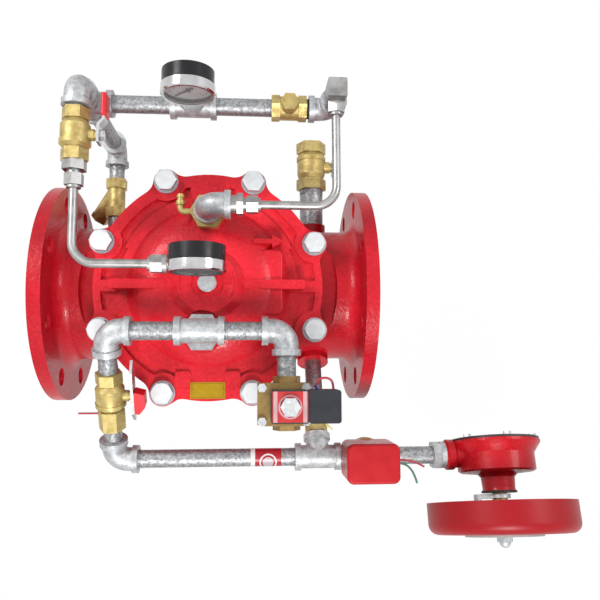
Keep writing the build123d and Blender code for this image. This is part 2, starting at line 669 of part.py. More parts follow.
SOLENOID_CORNER = Vector(CENTRE.X + LOOP_RIGHT_X, LOOP_CENTRE.Y, LOOP_CENTRE.Z)
SOLENOID_START = SOLENOID_CORNER + FRONT * 51
SOLENOID_CENTRE = SOLENOID_START + FRONT * (SOLENOID_LENGTH / 2)
SWITCH_CENTRE = Vector(CENTRE.X + SWITCH_X, ALARM_TEE.Y, ALARM_TEE.Z)
MOTOR_CENTRE = Vector(CENTRE.X + MOTOR_X, ALARM_TEE.Y, ALARM_TEE.Z)
MOTOR_WAY = Vector(0, -cos(radians(MOTOR_TILT)), sin(radians(MOTOR_TILT)))
UNION_LENGTH = 16
UNION_END = MOTOR_CENTRE + LEFT * MOTOR_SPIGOT_REACH
UNION_START = UNION_END + LEFT * UNION_LENGTH
DRAIN_VALVE = DRAIN_PORT + BACK * DRAIN_PIPE_SHOWN


def between(start, end):
    """Distance from one place to another."""
    return (end - start).length


def pipe_elbows():
    return [
        elbow(SUPPLY_CORNER, FRONT, UP),
        elbow(UPPER_CORNER, DOWN, FRONT),
        elbow(RETURN_CORNER, LEFT, UP),
        elbow(RETURN_ELBOW, DOWN, RIGHT),
        elbow(RELEASE_CORNER, RIGHT, RELEASE_WAY),
        elbow(SOLENOID_CORNER, LEFT, FRONT),
        elbow(ALARM_CORNER, RELEASE_WAY * -1, RIGHT),
    ]


def pipe_tees():
    return [
        tee(SUPPLY_TEE, UP, RIGHT),
        tee(LINE_GAUGE_TEE, RIGHT, UP),
        tee(LOOP_CENTRE, RIGHT, DOWN),
        tee(ALARM_TEE, RIGHT, ALARM_WAY),
    ]


def pipe_nipples():
    """The short pipes between fittings that stand close together."""
    reach = FITTING_REACH
    alarm_adapter_end = ALARM_TEE + ALARM_WAY * (reach + 19)
    return [
        pipe(SUPPLY_PORT, BACK, between(SUPPLY_PORT, STRAINER_START)),
        pipe(STRAINER_END, BACK, between(STRAINER_END, SUPPLY_CORNER) - reach),
        pipe(SUPPLY_TEE + UP * reach, UP, CLOSE_NIPPLE),
        pipe(UPPER_CORNER + FRONT * reach, FRONT, CLOSE_NIPPLE),
        pipe(CHECK_END, RIGHT, CLOSE_NIPPLE),
        pipe(RELEASE_CORNER + RELEASE_WAY * reach, RELEASE_WAY, 51 - reach),
        pipe(RELEASE_UNION_END, RELEASE_WAY, between(RELEASE_UNION_END, ALARM_CORNER) - reach, first_in=8),
        pipe(SOLENOID_CORNER + FRONT * reach, FRONT, 51 - reach),
        pipe(alarm_adapter_end, ALARM_WAY, between(alarm_adapter_end, ALARM_PORT)),
        pipe(ALARM_TEE + RIGHT * reach, RIGHT, between(ALARM_TEE, SWITCH_CENTRE) - reach - SWITCH_LENGTH / 2),
        pipe(LOOP_CENTRE + LEFT * reach, LEFT, between(LOOP_CENTRE, RELEASE_CORNER) - 2 * reach),
        pipe(LOOP_CENTRE + RIGHT * reach, RIGHT, between(LOOP_CENTRE, SOLENOID_CORNER) - 2 * reach),
    ]


def galvanised_pipes():
    """The long pipes: riser, both halves of the top line, alarm pipe, motor pipe and drain."""
    reach = FITTING_REACH
    switch_end = SWITCH_CENTRE + RIGHT * (SWITCH_LENGTH / 2)
    return [
        pipe(SUPPLY_CORNER + UP * reach, UP, between(SUPPLY_CORNER, SUPPLY_TEE) - 2 * reach),
        pipe(SUPPLY_TEE + RIGHT * reach, RIGHT, between(SUPPLY_TEE, LINE_GAUGE_TEE) - 2 * reach),
        pipe(LINE_GAUGE_TEE + RIGHT * reach, RIGHT, between(LINE_GAUGE_TEE, CHECK_START) - reach),
        pipe(ALARM_CORNER + RIGHT * reach, RIGHT, between(ALARM_CORNER, ALARM_TEE) - 2 * reach),
        pipe(switch_end, RIGHT, between(switch_end, UNION_START)),
        pipe(DRAIN_PORT, BACK, DRAIN_PIPE_SHOWN, DRAIN_PIPE_OD, DRAIN_PIPE_BORE),
    ]


def galvanised_couplings():
    """Hexagon bushing under the loop, union at the water motor, and reducer under the line gauge."""
    bushing = hexagon(42, 0, 8) + rod(SOCKET_R - SCREW_FIT - RUNNING_FIT, -SCREW_IN, 0)
    stub = rod(PIPE_OD / 2, 8, 10 + SCREW_IN - SEAT_GAP)
    bushing = bushing + stub - rod(PIPE_BORE / 2, -SCREW_IN, 10 + SCREW_IN)
    union_end = UNION_LENGTH + SCREW_IN - SEAT_GAP
    union = hexagon(30, 0, 10) + rod(16, 10, UNION_LENGTH) - rod(SOCKET_R, 0, SCREW_IN)
    union += rod(PIPE_OD / 2, UNION_LENGTH, union_end)
    union -= rod(PIPE_BORE / 2, 0, union_end)
    bushing_place = Vector(LOOP_CENTRE.X, LOOP_CENTRE.Y, PORT_BOSS_HEIGHT)
    reducer = hexagon(24, 0, GAUGE_REDUCER) + rod(PIPE_OD / 2, -SCREW_IN + SEAT_GAP, 0)
    reducer -= rod(6 + SCREW_FIT, -SCREW_IN, GAUGE_REDUCER)
    return [
        placed(bushing, bushing_place, UP),
        placed(union, UNION_START, RIGHT),
        placed(reducer, LINE_GAUGE_TEE + UP * FITTING_REACH, UP),
    ]


def strainer_axis():
    """Way that the strainer's branch points: half back against the flow, half down and out."""
    lean = radians(45)
    roll = radians(STRAINER_ROLL)
    return Vector(-sin(lean) * cos(roll), -cos(lean), -sin(lean) * sin(roll))


STRAINER_MIDDLE = STRAINER_START + BACK * (STRAINER_LENGTH * 0.62)
STRAINER_MOUTH = STRAINER_MIDDLE + strainer_axis() * STRAINER_BRANCH
SCREEN_R = 8.5


def strainer_body():
    way = strainer_axis()
    run = hexagon(STRAINER_FLATS, 0, 14) + rod(12.5, 14, STRAINER_LENGTH - 14)
    run += hexagon(STRAINER_FLATS, STRAINER_LENGTH - 14, STRAINER_LENGTH)
    solid = placed(run, STRAINER_START, BACK)
    solid += placed(rod(13, 0, STRAINER_BRANCH), STRAINER_MIDDLE, way)
    solid -= placed(rod(PIPE_BORE / 2 - 1, 0, STRAINER_LENGTH), STRAINER_START, BACK)
    solid -= placed(rod(SOCKET_R, 0, SCREW_IN), STRAINER_START, BACK)
    solid -= placed(rod(SOCKET_R, STRAINER_LENGTH - SCREW_IN, STRAINER_LENGTH), STRAINER_START, BACK)
    solid -= placed(rod(SCREEN_R + 1, 0, STRAINER_BRANCH), STRAINER_MIDDLE, way)
    return solid


def strainer_screen():
    sleeve = ring(SCREEN_R, SCREEN_R - 1, 2, STRAINER_BRANCH)
    return placed(sleeve, STRAINER_MIDDLE, strainer_axis())


def check_cap_seat():
    return CHECK_START + RIGHT * (CHECK_LENGTH / 2) + UP * 17


def brass_caps():
    """The strainer's cap and the check valve's cap."""
    strainer_cap = hexagon(24, 0, 8) + rod(SCREEN_R + 1 - RUNNING_FIT, -4, 0)
    strainer_cap -= rod(SCREEN_R + RUNNING_FIT, -4, 0)
    check_cap = hexagon(CHECK_CAP_FLATS, 0, 7) + rod(8 - RUNNING_FIT, -2, 0)
    return [
        placed(strainer_cap, STRAINER_MOUTH, strainer_axis()),
        placed(check_cap, check_cap_seat(), UP, RIGHT),
    ]


# Ball valves

class BallValve:
    """Two-piece ball valve along +Z, with its stem towards +X."""

    def __init__(self, length, flats, ball_od, pipe_od, bore, stem_od, start, way, side):
        self.length = length
        self.flats = flats
        self.ball_r = ball_od / 2
        self.pipe_r = pipe_od / 2
        self.bore_r = bore / 2
        self.stem_r = stem_od / 2
        self.middle = length * 0.5
        self.seat_edge = self.ball_r * 0.62
        self.cavity = self.seat_edge + 5
        self.barrel_r = self.ball_r + 4.5
        self.boss_reach = self.barrel_r + stem_od * 1.1
        self.place = Plane(origin=start, x_dir=side, z_dir=way).location

    def along_stem(self, shape):
        return Pos(0, 0, self.middle) * Rot(0, 90, 0) * shape

    def body(self):
        end = self.length * 0.22
        barrel_half = self.cavity + 1.5
        solid = hexagon(self.flats, 0, end) + hexagon(self.flats, self.length - end, self.length)
        solid += turned([
            (0, end), (self.flats * 0.46, end), (self.barrel_r, self.middle - barrel_half * 0.75),
            (self.barrel_r, self.middle + barrel_half * 0.5), (self.barrel_r + 1, self.middle + barrel_half * 0.5),
            (self.barrel_r + 1, self.middle + barrel_half * 0.85), (self.flats * 0.46, self.length - end),
            (0, self.length - end),
        ])
        boss = rod(self.stem_r * 1.9, 0, self.boss_reach - 3)
        boss += rod(self.stem_r * 1.5, self.boss_reach - 3, self.boss_reach)
        solid += self.along_stem(boss)
        solid -= rod(self.bore_r, 0, self.length)
        solid -= rod(self.ball_r + SEAT_GAP, self.middle - self.cavity, self.middle + self.cavity)
        socket = rod(self.pipe_r + SCREW_FIT, 0, SCREW_IN)
        solid -= socket
        solid -= Pos(0, 0, self.length - SCREW_IN) * socket
        solid -= self.along_stem(rod(self.stem_r + RUNNING_FIT, 0, self.boss_reach))
        return self.place * solid

    def seats(self):
        """Two rings, hollowed to the ball, on both sides of it."""
        ball = Pos(0, 0, self.middle) * Sphere(self.ball_r + SEAT_GAP)
        pieces = []
        for low, high in ((-self.cavity, -self.seat_edge), (self.seat_edge, self.cavity)):
            seat = ring(self.ball_r + SEAT_GAP - RUNNING_FIT, self.bore_r, self.middle + low, self.middle + high)
            pieces.append(self.place * (seat - ball))
        return pieces

    def ball(self):
        """Bored ball with its stem."""
        solid = Sphere(self.ball_r) - Cylinder(self.bore_r, 2 * self.ball_r)
        solid = Pos(0, 0, self.middle) * solid
        stem = rod(self.stem_r, self.ball_r * 0.86, self.boss_reach + self.stem_r * 2.2)
        return self.place * (solid + self.along_stem(stem))

    def stem_nut(self, low):
        nut = hexagon(self.stem_r * 3.2, low, low + self.stem_r * 1.2)
        return self.place * self.along_stem(nut - rod(self.stem_r + RUNNING_FIT, low, low + self.stem_r * 1.2))

    def lever(self, width, length, sign):
        """Flat lever on the stem: a plate with a step outwards and a thick dipped grip."""
        thickness, step = LEVER_THICKNESS, LEVER_STEP
        base = self.boss_reach + SEAT_GAP + thickness / 2
        step_end = LEVER_START + step * 1.2
        points = [
            (base, 0, self.middle - sign * LEVER_START), (base, 0, self.middle + sign * LEVER_START),
            (base + step, 0, self.middle + sign * step_end), (base + step, 0, self.middle + sign * length),
        ]
        path = FilletPolyline(*points, radius=thickness)
        section = Plane(origin=path @ 0, x_dir=(1, 0, 0), z_dir=path % 0) * Rectangle(thickness, width)
        plate = sweep(section, path=path)
        plate -= self.along_stem(rod(self.stem_r + RUNNING_FIT, 0, base + thickness))
        grip_low, grip_high = step_end + thickness, length + thickness / 2
        grip = Box(thickness + GRIP_EXTRA, width + GRIP_EXTRA, grip_high - grip_low)
        grip = fillet(grip.edges(), 2.5)
        plate += Pos(base + step, 0, self.middle + sign * (grip_low + grip_high) / 2) * grip
        return [self.place * plate, self.stem_nut(base + thickness / 2)]

    def handle(self):
        """Pointed plate across the stem with a tapered wing in the middle."""
        thickness = LEVER_THICKNESS
        low = self.boss_reach + SEAT_GAP
        half = HANDLE_WIDTH / 2
        outline = Polyline(
            (-half, -HANDLE_UP + half), (-2, -HANDLE_UP), (half, -HANDLE_UP + half * 1.5),
            (half, HANDLE_DOWN - half * 1.5), (-2, HANDLE_DOWN), (-half, HANDLE_DOWN - half), close=True,
        )
        lying = Pos(0, 0, self.middle) * Plane(origin=(low, 0, 0), x_dir=(0, 1, 0), z_dir=(1, 0, 0)).location
        plate = lying * extrude(make_face(outline), thickness)
        plate -= self.along_stem(rod(self.stem_r + RUNNING_FIT, 0, low + thickness))
        out = HANDLE_GRIP_OUT
        side = Polyline(
            (0, -out * 0.6), (out, -out * 0.3), (out, out), (out * 0.45, out * 1.7), (0, out * 1.6), close=True,
        )
        wing_plane = Plane(origin=(low + thickness, half - 1, self.middle), x_dir=(1, 0, 0), z_dir=(0, -1, 0))
        wing = extrude(wing_plane * make_face(side), HANDLE_WIDTH - 2)
        wing = fillet(wing.edges().filter_by(Axis.Y), 1.5)
        stem_end = self.boss_reach + self.stem_r * 2.2 + SEAT_GAP
        wing -= self.along_stem(rod(self.stem_r + RUNNING_FIT, 0, stem_end))
        return self.place * (plate + wing)


def ball_valves():
    half = (BALL_VALVE_LENGTH, BALL_VALVE_FLATS, BALL_OD, PIPE_OD, PIPE_BORE, 7)
    inch = (DRAIN_VALVE_LENGTH, DRAIN_VALVE_FLATS, DRAIN_BALL_OD, DRAIN_PIPE_OD, DRAIN_PIPE_BORE, 9)
    return {
        "supply": BallValve(*half, SUPPLY_VALVE, FRONT, RIGHT),
        "release": BallValve(*half, RELEASE_VALVE, RELEASE_WAY, RIGHT),
        "drain": BallValve(*inch, DRAIN_VALVE, BACK, RIGHT),
    }


# Steel tubes and compression fittings

GAUGE_BLOCK = Vector(CENTRE.X + COVER_GAUGE_X, COVER_GAUGE_Y, UPPER_CORNER.Z)
GAUGE_BLOCK_HALF = 15
GAUGE_ARM = 42
SUPPLY_CONNECTOR_LENGTH = 15
RETURN_CONNECTOR_LENGTH = 18


def tube_end(seat, way):
    """Where a tube starts inside the nut whose seat faces along a direction."""
    return seat + way * 4


def supply_tube_points():
    start = SUPPLY_VALVE_END + FRONT * SUPPLY_CONNECTOR_LENGTH
    end = GAUGE_BLOCK + LEFT * GAUGE_ARM
    corner = Vector(start.X, end.Y, start.Z)
    return [tube_end(start, FRONT), corner, tube_end(end, LEFT)]


def return_tube_points():
    start = BLOCK_PORT + FRONT * (BLOCK_SIZE / 2)
    end = RETURN_ELBOW + RIGHT * (FITTING_REACH + RETURN_CONNECTOR_LENGTH)
    corner = Vector(start.X, end.Y, start.Z)
    return [tube_end(start, FRONT), corner, tube_end(end, RIGHT)]


def steel_tubes():
    pieces = []
    for points in (supply_tube_points(), return_tube_points()):
        outer = bent_rod(points, TUBE_OD / 2, TUBE_BEND)
        pieces.append(outer - bent_rod(points, TUBE_OD / 2 - TUBE_WALL, TUBE_BEND))
    return pieces


def tube_nut(seat, way):
    """Compression nut, from the seat outwards along the tube."""
    nut = hexagon(TUBE_NUT_FLATS, 0, TUBE_NUT_LENGTH - 3) + rod(8, TUBE_NUT_LENGTH - 3, TUBE_NUT_LENGTH)
    return placed(nut - rod(TUBE_OD / 2 + RUNNING_FIT, 0, TUBE_NUT_LENGTH), seat, way)


def tube_fittings():
    """Four nuts, two connectors, the gauge block on the cover and the square elbow of the return line."""
    way_r = TUBE_OD / 2 - TUBE_WALL
    supply_end = SUPPLY_VALVE_END + FRONT * SUPPLY_CONNECTOR_LENGTH
    return_end = RETURN_ELBOW + RIGHT * (FITTING_REACH + RETURN_CONNECTOR_LENGTH)
    supply = rod(PIPE_OD / 2, -SCREW_IN + SEAT_GAP, 0) + hexagon(24, 0, 11)
    supply += rod(8, 11, SUPPLY_CONNECTOR_LENGTH)
    supply -= rod(way_r, -SCREW_IN, SUPPLY_CONNECTOR_LENGTH)
    back = rod(PIPE_OD / 2, -SCREW_IN + SEAT_GAP, 7) + hexagon(24, 7, 14)
    back += rod(8, 14, RETURN_CONNECTOR_LENGTH)
    back -= rod(way_r, -SCREW_IN, RETURN_CONNECTOR_LENGTH)
    half = GAUGE_BLOCK_HALF
    stand = HUB_HEIGHT - GAUGE_BLOCK.Z
    foot = Pos(0, GAUGE_PORT_BEHIND, 0)
    body = Pos(0, GAUGE_PORT_BEHIND / 2, 0) * block(22, 22 + GAUGE_PORT_BEHIND, -half, half)
    body += foot * rod(GAUGE_PORT_R, stand - 10, -half)
    body += Rot(0, -90, 0) * (rod(9, 0, GAUGE_ARM) + rod(11, GAUGE_ARM - 5, GAUGE_ARM))
    body -= foot * rod(3, stand - 10, 0)
    body -= rod(3, 0, half - 8)
    body -= rod(6 + SCREW_FIT, half - 8, half)
    body -= Rot(0, -90, 0) * rod(3, 0, GAUGE_ARM)
    return [
        placed(supply, SUPPLY_VALVE_END, FRONT),
        placed(back, RETURN_ELBOW + RIGHT * FITTING_REACH, RIGHT),
        Pos(GAUGE_BLOCK) * body,
        tube_nut(supply_end, FRONT),
        tube_nut(GAUGE_BLOCK + LEFT * GAUGE_ARM, LEFT),
        tube_nut(return_end, RIGHT),
        tube_nut(BLOCK_PORT + FRONT * (BLOCK_SIZE / 2), FRONT),
        block_elbow(),
    ]


def block_elbow():
    """Square bar elbow at the top of the return line."""
    solid = block(BLOCK_SIZE, BLOCK_SIZE, 0, BLOCK_HEIGHT)
    solid = chamfer(solid.edges().filter_by(Axis.Z), 1)
    stub_low = -CLOSE_NIPPLE - SCREW_IN + SEAT_GAP
    solid += rod(PIPE_OD / 2, stub_low, 0)
    solid -= rod(4, stub_low, BLOCK_PORT.Z - BLOCK_BASE.Z)
    port = Pos(0, 0, BLOCK_PORT.Z - BLOCK_BASE.Z) * Rot(90, 0, 0) * rod(4, 0, BLOCK_SIZE / 2)
    return Pos(BLOCK_BASE) * (solid - port)


# Check valve

FLAP_X = SCREW_IN + 1.5
FLAP_PIN_Z = FLAP_OD / 2 + 2.5
FLAP_PIN_R = 1.25
FLAP_PIN_REACH = 10
FLAP_PIN = CHECK_START + RIGHT * (FLAP_X + 4) + UP * FLAP_PIN_Z


def check_valve_body():
    """Swing check valve along +X with a round cap seat on top."""
    run = hexagon(28, 0, 10) + rod(14.5, 10, CHECK_LENGTH - 10) + hexagon(28, CHECK_LENGTH - 10, CHECK_LENGTH)
    solid = placed(run, CHECK_START, RIGHT)
    solid += Pos(check_cap_seat()) * rod(11, -17, 0)
    solid -= placed(rod(PIPE_BORE / 2 - 1, 0, CHECK_LENGTH), CHECK_START, RIGHT)
    solid -= placed(rod(SOCKET_R, 0, SCREW_IN), CHECK_START, RIGHT)
    solid -= placed(rod(SOCKET_R, CHECK_LENGTH - SCREW_IN, CHECK_LENGTH), CHECK_START, RIGHT)
    solid -= placed(rod(FLAP_OD / 2 + 1.5, FLAP_X, CHECK_LENGTH - SCREW_IN), CHECK_START, RIGHT)
    solid -= Pos(check_cap_seat()) * rod(8, -17, 0)
    pin_hole = Rot(90, 0, 0) * Cylinder(FLAP_PIN_R + RUNNING_FIT, 2 * FLAP_PIN_REACH)
    solid -= Pos(FLAP_PIN) * pin_hole
    return solid


def check_flap():
    """Flap, hinge arm and pin in one piece; it hangs shut against the seat."""
    low = FLAP_X + SEAT_GAP
    disc = placed(rod(FLAP_OD / 2, low, low + 2.5), CHECK_START, RIGHT)
    arm = Pos(CHECK_START + RIGHT * (low + 2.5)) * block(5, 4, 4, FLAP_PIN_Z + 1)
    pin = Pos(FLAP_PIN) * Rot(90, 0, 0) * Cylinder(FLAP_PIN_R, 2 * FLAP_PIN_REACH - SEAT_GAP)
    return disc + arm + pin


# Gauges

GAUGE_LIFT = GAUGE_OD / 2 + 8.5


def gauge_places():
    """Foot of each gauge stem: on the gauge block, and on the tee of the top line."""
    return [GAUGE_BLOCK + UP * GAUGE_BLOCK_HALF, LINE_GAUGE_TEE + UP * (FITTING_REACH + GAUGE_REDUCER)]


def facing_front(shape):
    """Turns a shape made along +Z to run from the dial's front towards the back."""
    return Pos(0, 0, GAUGE_LIFT) * Rot(-90, 0, 0) * shape


def gauge_case():
    front = -GAUGE_FRONT + 3
    back = GAUGE_DEPTH - GAUGE_FRONT
    shell = rod(GAUGE_OD / 2, front, back) - rod(GAUGE_OD / 2 - GAUGE_WALL, front, back - GAUGE_WALL)
    slot = Pos(0, 0, GAUGE_LIFT - GAUGE_OD / 2) * Box(GAUGE_STEM_FLATS, GAUGE_STEM_FLATS, 8)
    return facing_front(shell) - slot


def gauge_bezel():
    front = -GAUGE_FRONT
    outer = GAUGE_BEZEL_OD / 2
    ring_solid = rod(outer, front, front + GAUGE_BEZEL_DEPTH)
    ring_solid = chamfer(ring_solid.edges().sort_by(Axis.Z)[0], 1.5)
    ring_solid -= rod(GAUGE_OD / 2 - GAUGE_WALL - 1.5, front, front + GAUGE_BEZEL_DEPTH)
    ring_solid -= rod(GAUGE_OD / 2 + RUNNING_FIT, front + 3, front + GAUGE_BEZEL_DEPTH)
    return facing_front(ring_solid)


DIAL_FACE = -GAUGE_FRONT + 8
NEEDLE_FACE = DIAL_FACE - 2.2
WINDOW_FACE = -GAUGE_FRONT + 3
ARBOR_R = 1.5


def gauge_dial():
    disc = rod(GAUGE_OD / 2 - GAUGE_WALL - RUNNING_FIT, DIAL_FACE, DIAL_FACE + 1)
    return facing_front(disc - rod(ARBOR_R + RUNNING_FIT, DIAL_FACE, DIAL_FACE + 1))


def gauge_window():
    return facing_front(rod(GAUGE_OD / 2 - GAUGE_WALL - RUNNING_FIT, WINDOW_FACE, WINDOW_FACE + 1.5))


def gauge_stem():
    """Square brass stem with its movement block, from the socket up into the case."""
    flats = GAUGE_STEM_FLATS
    low = GAUGE_LIFT - GAUGE_OD / 2 + GAUGE_WALL
    stem = rod(6, -7, 0) + block(flats, flats, 0, low)
    stem += Pos(0, 2, 0) * block(flats - 3, 6, low, GAUGE_LIFT + 6)
    arbor_hole = facing_front(rod(ARBOR_R + RUNNING_FIT, -flats, flats))
    return stem - arbor_hole - rod(2, -7, 10)


def gauge_needle():
    """Needle on its arbor; at rest it points at the lowest mark, down and to the left."""
    length = GAUGE_OD / 2 - 7
    blade = Polyline((-1.6, -8), (1.6, -8), (0.5, length), (-0.5, length), close=True)
    needle = extrude(Plane.XY.offset(NEEDLE_FACE) * make_face(blade), 0.8)
    needle = Rot(0, 0, 45) * needle
    needle += rod(3, NEEDLE_FACE - 0.6, NEEDLE_FACE + 0.8)
    needle += rod(ARBOR_R, NEEDLE_FACE + 0.8, 6)
    return facing_front(needle)


def on_both_gauges(shape):
    return [Pos(place) * shape for place in gauge_places()]


# Brass adapters

def brass_adapters():
    """Bushing and small barbed elbow at the return port, and the two adapters of the lower lines."""
    base = Vector(CENTRE.X, RETURN_PORT_Y, PORT_BOSS_HEIGHT)
    top = RETURN_ELBOW.Z - FITTING_REACH - base.Z
    bushing = rod(SOCKET_R - SCREW_FIT - RUNNING_FIT, -SCREW_IN, 0) + hexagon(38, 0, top - 3)
    bushing += rod(PIPE_OD / 2, top - 3, top + SCREW_IN - SEAT_GAP)
    bushing -= rod(PIPE_BORE / 2, -SCREW_IN, top + SCREW_IN)
    barb_z = (top - 3) / 2
    barb = bent_rod([(-18, 0, barb_z), (-33, 0, barb_z), (-33, 21, barb_z)], 4, 5)
    barb += Pos(-33, 8, barb_z) * Rot(-90, 0, 0) * (rod(5.5, 0, 5) + rod(4.8, 9, 11))
    bushing = placed(bushing + barb, base, UP, RIGHT)
    union = hexagon(27, 0, RELEASE_UNION_LENGTH) - rod(PIPE_BORE / 2, 0, RELEASE_UNION_LENGTH)
    hidden = SCREW_IN - SEAT_GAP
    union += ring(PIPE_OD / 2, PIPE_BORE / 2, -hidden, 0)
    union -= rod(SOCKET_R, RELEASE_UNION_LENGTH - SCREW_IN + 4, RELEASE_UNION_LENGTH)
    adapter_start = ALARM_TEE + ALARM_WAY * FITTING_REACH
    adapter = hexagon(24, 3, 19) + ring(PIPE_OD / 2, PIPE_BORE / 2, -hidden, 3)
    adapter -= rod(PIPE_BORE / 2, 3, 19)
    adapter -= rod(SOCKET_R, 19 - SCREW_IN, 19)
    return [
        bushing,
        placed(union, RELEASE_VALVE_END, RELEASE_WAY, RIGHT),
        placed(adapter, adapter_start, ALARM_WAY, RIGHT),
    ]


# Solenoid valve

BODY_TOP = 18
BONNET_TOP = 30
COIL_LOW = BONNET_TOP + 6
COIL_TOP = COIL_LOW + COIL_HEIGHT
COIL_DEPTH = 34
CORE_R = PLUNGER_OD / 2 + 2
PLUNGER_LOW = 10
PLUNGER_LENGTH = 34
BONNET_SIZE = (58, SOLENOID_BONNET)
BONNET_SHIFT = -4
CONNECTOR_SIZE = (33, 34, 30)


def solenoid_body():
    """Bronze body: ports front and back, square top for the bonnet, orifice under the plunger."""
    half = SOLENOID_LENGTH / 2
    end = SOLENOID_PORT_FLATS * 0.5
    run = hexagon(SOLENOID_PORT_FLATS, 0, end) + rod(15, end, SOLENOID_LENGTH - end)
    run += hexagon(SOLENOID_PORT_FLATS, SOLENOID_LENGTH - end, SOLENOID_LENGTH)
    solid = Pos(0, half, 0) * Rot(90, 0, 0) * run
    solid += Pos(BONNET_SHIFT, 0, 0) * block(BONNET_SIZE[0], BONNET_SIZE[1], 6, BODY_TOP)
    solid += rod(19, -10, 8)
    socket = rod(SOCKET_R, 0, SCREW_IN)
    solid -= Pos(0, half, 0) * Rot(90, 0, 0) * (socket + rod(6, 0, half - 8))
    solid -= Pos(0, -half, 0) * Rot(-90, 0, 0) * (socket + rod(6, 0, half + 3))
    solid -= rod(3, 0, PLUNGER_LOW)
    solid -= Pos(0, 11, 0) * rod(2.5, 0, PLUNGER_LOW)
    solid -= rod(14, PLUNGER_LOW, BODY_TOP)
    return Pos(SOLENOID_CENTRE) * solid


def bonnet_screw_places():
    for x_side in (-1, 1):
        for y_side in (-1, 1):
            yield Pos(BONNET_SHIFT + x_side * (BONNET_SIZE[0] / 2 - 5), y_side * (BONNET_SIZE[1] / 2 - 5), 0)


def solenoid_bonnet():
    """Square bonnet with the closed core tube that the plunger slides in."""
    plate = Pos(BONNET_SHIFT, 0, 0) * block(BONNET_SIZE[0], BONNET_SIZE[1], BODY_TOP, BONNET_TOP)
    plate = fillet(plate.edges().filter_by(Axis.Z), 5)
    solid = plate + rod(CORE_R, BONNET_TOP, COIL_TOP) + rod(4, COIL_TOP, COIL_TOP + 7)
    solid += rod(12, BONNET_TOP, COIL_LOW)
    solid -= rod(PLUNGER_OD / 2 + RUNNING_FIT, BODY_TOP, PLUNGER_LOW + PLUNGER_LENGTH + PLUNGER_LIFT + 2)
    for place in bonnet_screw_places():
        solid -= place * rod(2.6, BODY_TOP, BONNET_TOP)
    return Pos(SOLENOID_CENTRE) * solid


def solenoid_fasteners():
    """Coil nut and the four bonnet screws."""
    nut = hexagon(18, COIL_TOP, COIL_TOP + 7) - rod(4 + RUNNING_FIT, COIL_TOP, COIL_TOP + 7)
    pieces = [Pos(SOLENOID_CENTRE) * nut]
    for place in bonnet_screw_places():
        screw = hexagon(9, BONNET_TOP, BONNET_TOP + 5) + rod(2.5, BODY_TOP + SEAT_GAP, BONNET_TOP)
        pieces.append(Pos(SOLENOID_CENTRE) * place * screw)
    return pieces


def solenoid_plunger():
    low = PLUNGER_LOW + SEAT_GAP
    return Pos(SOLENOID_CENTRE) * rod(PLUNGER_OD / 2, low, low + PLUNGER_LENGTH)


def solenoid_coil():
    coil = block(COIL_WIDTH, COIL_DEPTH, COIL_LOW, COIL_TOP)
    coil = fillet(coil.edges().filter_by(Axis.Z), 3)
    coil = chamfer(coil.edges().sort_by(Axis.Z)[-8:], 1)
    return Pos(SOLENOID_CENTRE) * (coil - rod(CORE_R + RUNNING_FIT, COIL_LOW, COIL_TOP))


def connector_box():
    x_size, y_size, height = CONNECTOR_SIZE
    box = Pos(COIL_WIDTH / 2 + x_size / 2, 0, 0) * block(x_size, y_size, COIL_TOP - height - 1, COIL_TOP - 1)
    box = fillet(box.edges().filter_by(Axis.Z), 3)
    return Pos(SOLENOID_CENTRE) * box


# Pressure switch

CHAMBER_R = 24
SWITCH_CHAMBER = (9, 19)
SWITCH_PLATE_TOP = 22


def switch_base():
    """Run fitting with the pressure chamber and the mounting plate of the switch on top."""
    start = Pos(-SWITCH_LENGTH / 2, 0, 0) * Rot(0, 90, 0)
    low, high = SWITCH_CHAMBER
    solid = start * (hexagon(27, 0, 14) + rod(14, 14, SWITCH_LENGTH - 14))
    solid += start * hexagon(27, SWITCH_LENGTH - 14, SWITCH_LENGTH)
    solid += rod(CHAMBER_R, low, high)
    inside = (SWITCH_BOX[0] / 2 - SWITCH_WALL - SEAT_GAP, SWITCH_BOX[1] / 2 - SWITCH_WALL - SEAT_GAP)
    plate = block(2 * inside[0], 2 * inside[1], high, SWITCH_PLATE_TOP)
    solid += fillet(plate.edges().filter_by(Axis.Z), 6)
    solid -= start * rod(PIPE_BORE / 2, 0, SWITCH_LENGTH)
    solid -= start * rod(SOCKET_R, 0, SCREW_IN)
    solid -= start * rod(SOCKET_R, SWITCH_LENGTH - SCREW_IN, SWITCH_LENGTH)
    solid -= rod(3, 0, low + 2)
    solid -= rod(CHAMBER_R - 8, low + 2, high - 2)
    solid -= rod(3 + RUNNING_FIT, high - 2, SWITCH_PLATE_TOP)
    return Pos(SWITCH_CENTRE) * solid


def switch_plunger():
    low = SWITCH_CHAMBER[0] + 2 + SEAT_GAP
    return Pos(SWITCH_CENTRE) * (rod(CHAMBER_R - 8.5, low, low + 2) + rod(3, low + 2, low + 26))


def switch_cover():
    """Rounded box over the switch plate, with a short gland for its leads."""
    x_size, y_size, height = SWITCH_BOX
    low = SWITCH_CHAMBER[1]
    outer = fillet(block(x_size, y_size, low, low + height).edges().filter_by(Axis.Z), 8)
    outer = fillet(outer.faces().sort_by(Axis.Z)[-1].edges(), 3)
    outer += Pos(x_size / 2 - 1, -3, 30) * Rot(0, 90, 0) * rod(5, 0, 6)
    inner = block(x_size - 2 * SWITCH_WALL, y_size - 2 * SWITCH_WALL, low, low + height - SWITCH_WALL)
    inner = fillet(inner.edges().filter_by(Axis.Z), 6)
    return Pos(SWITCH_CENTRE) * (outer - inner)


# Water motor and gong, modelled with +Z towards the gong's front

def on_motor(shape):
    return placed(shape, MOTOR_CENTRE, MOTOR_WAY, RIGHT)


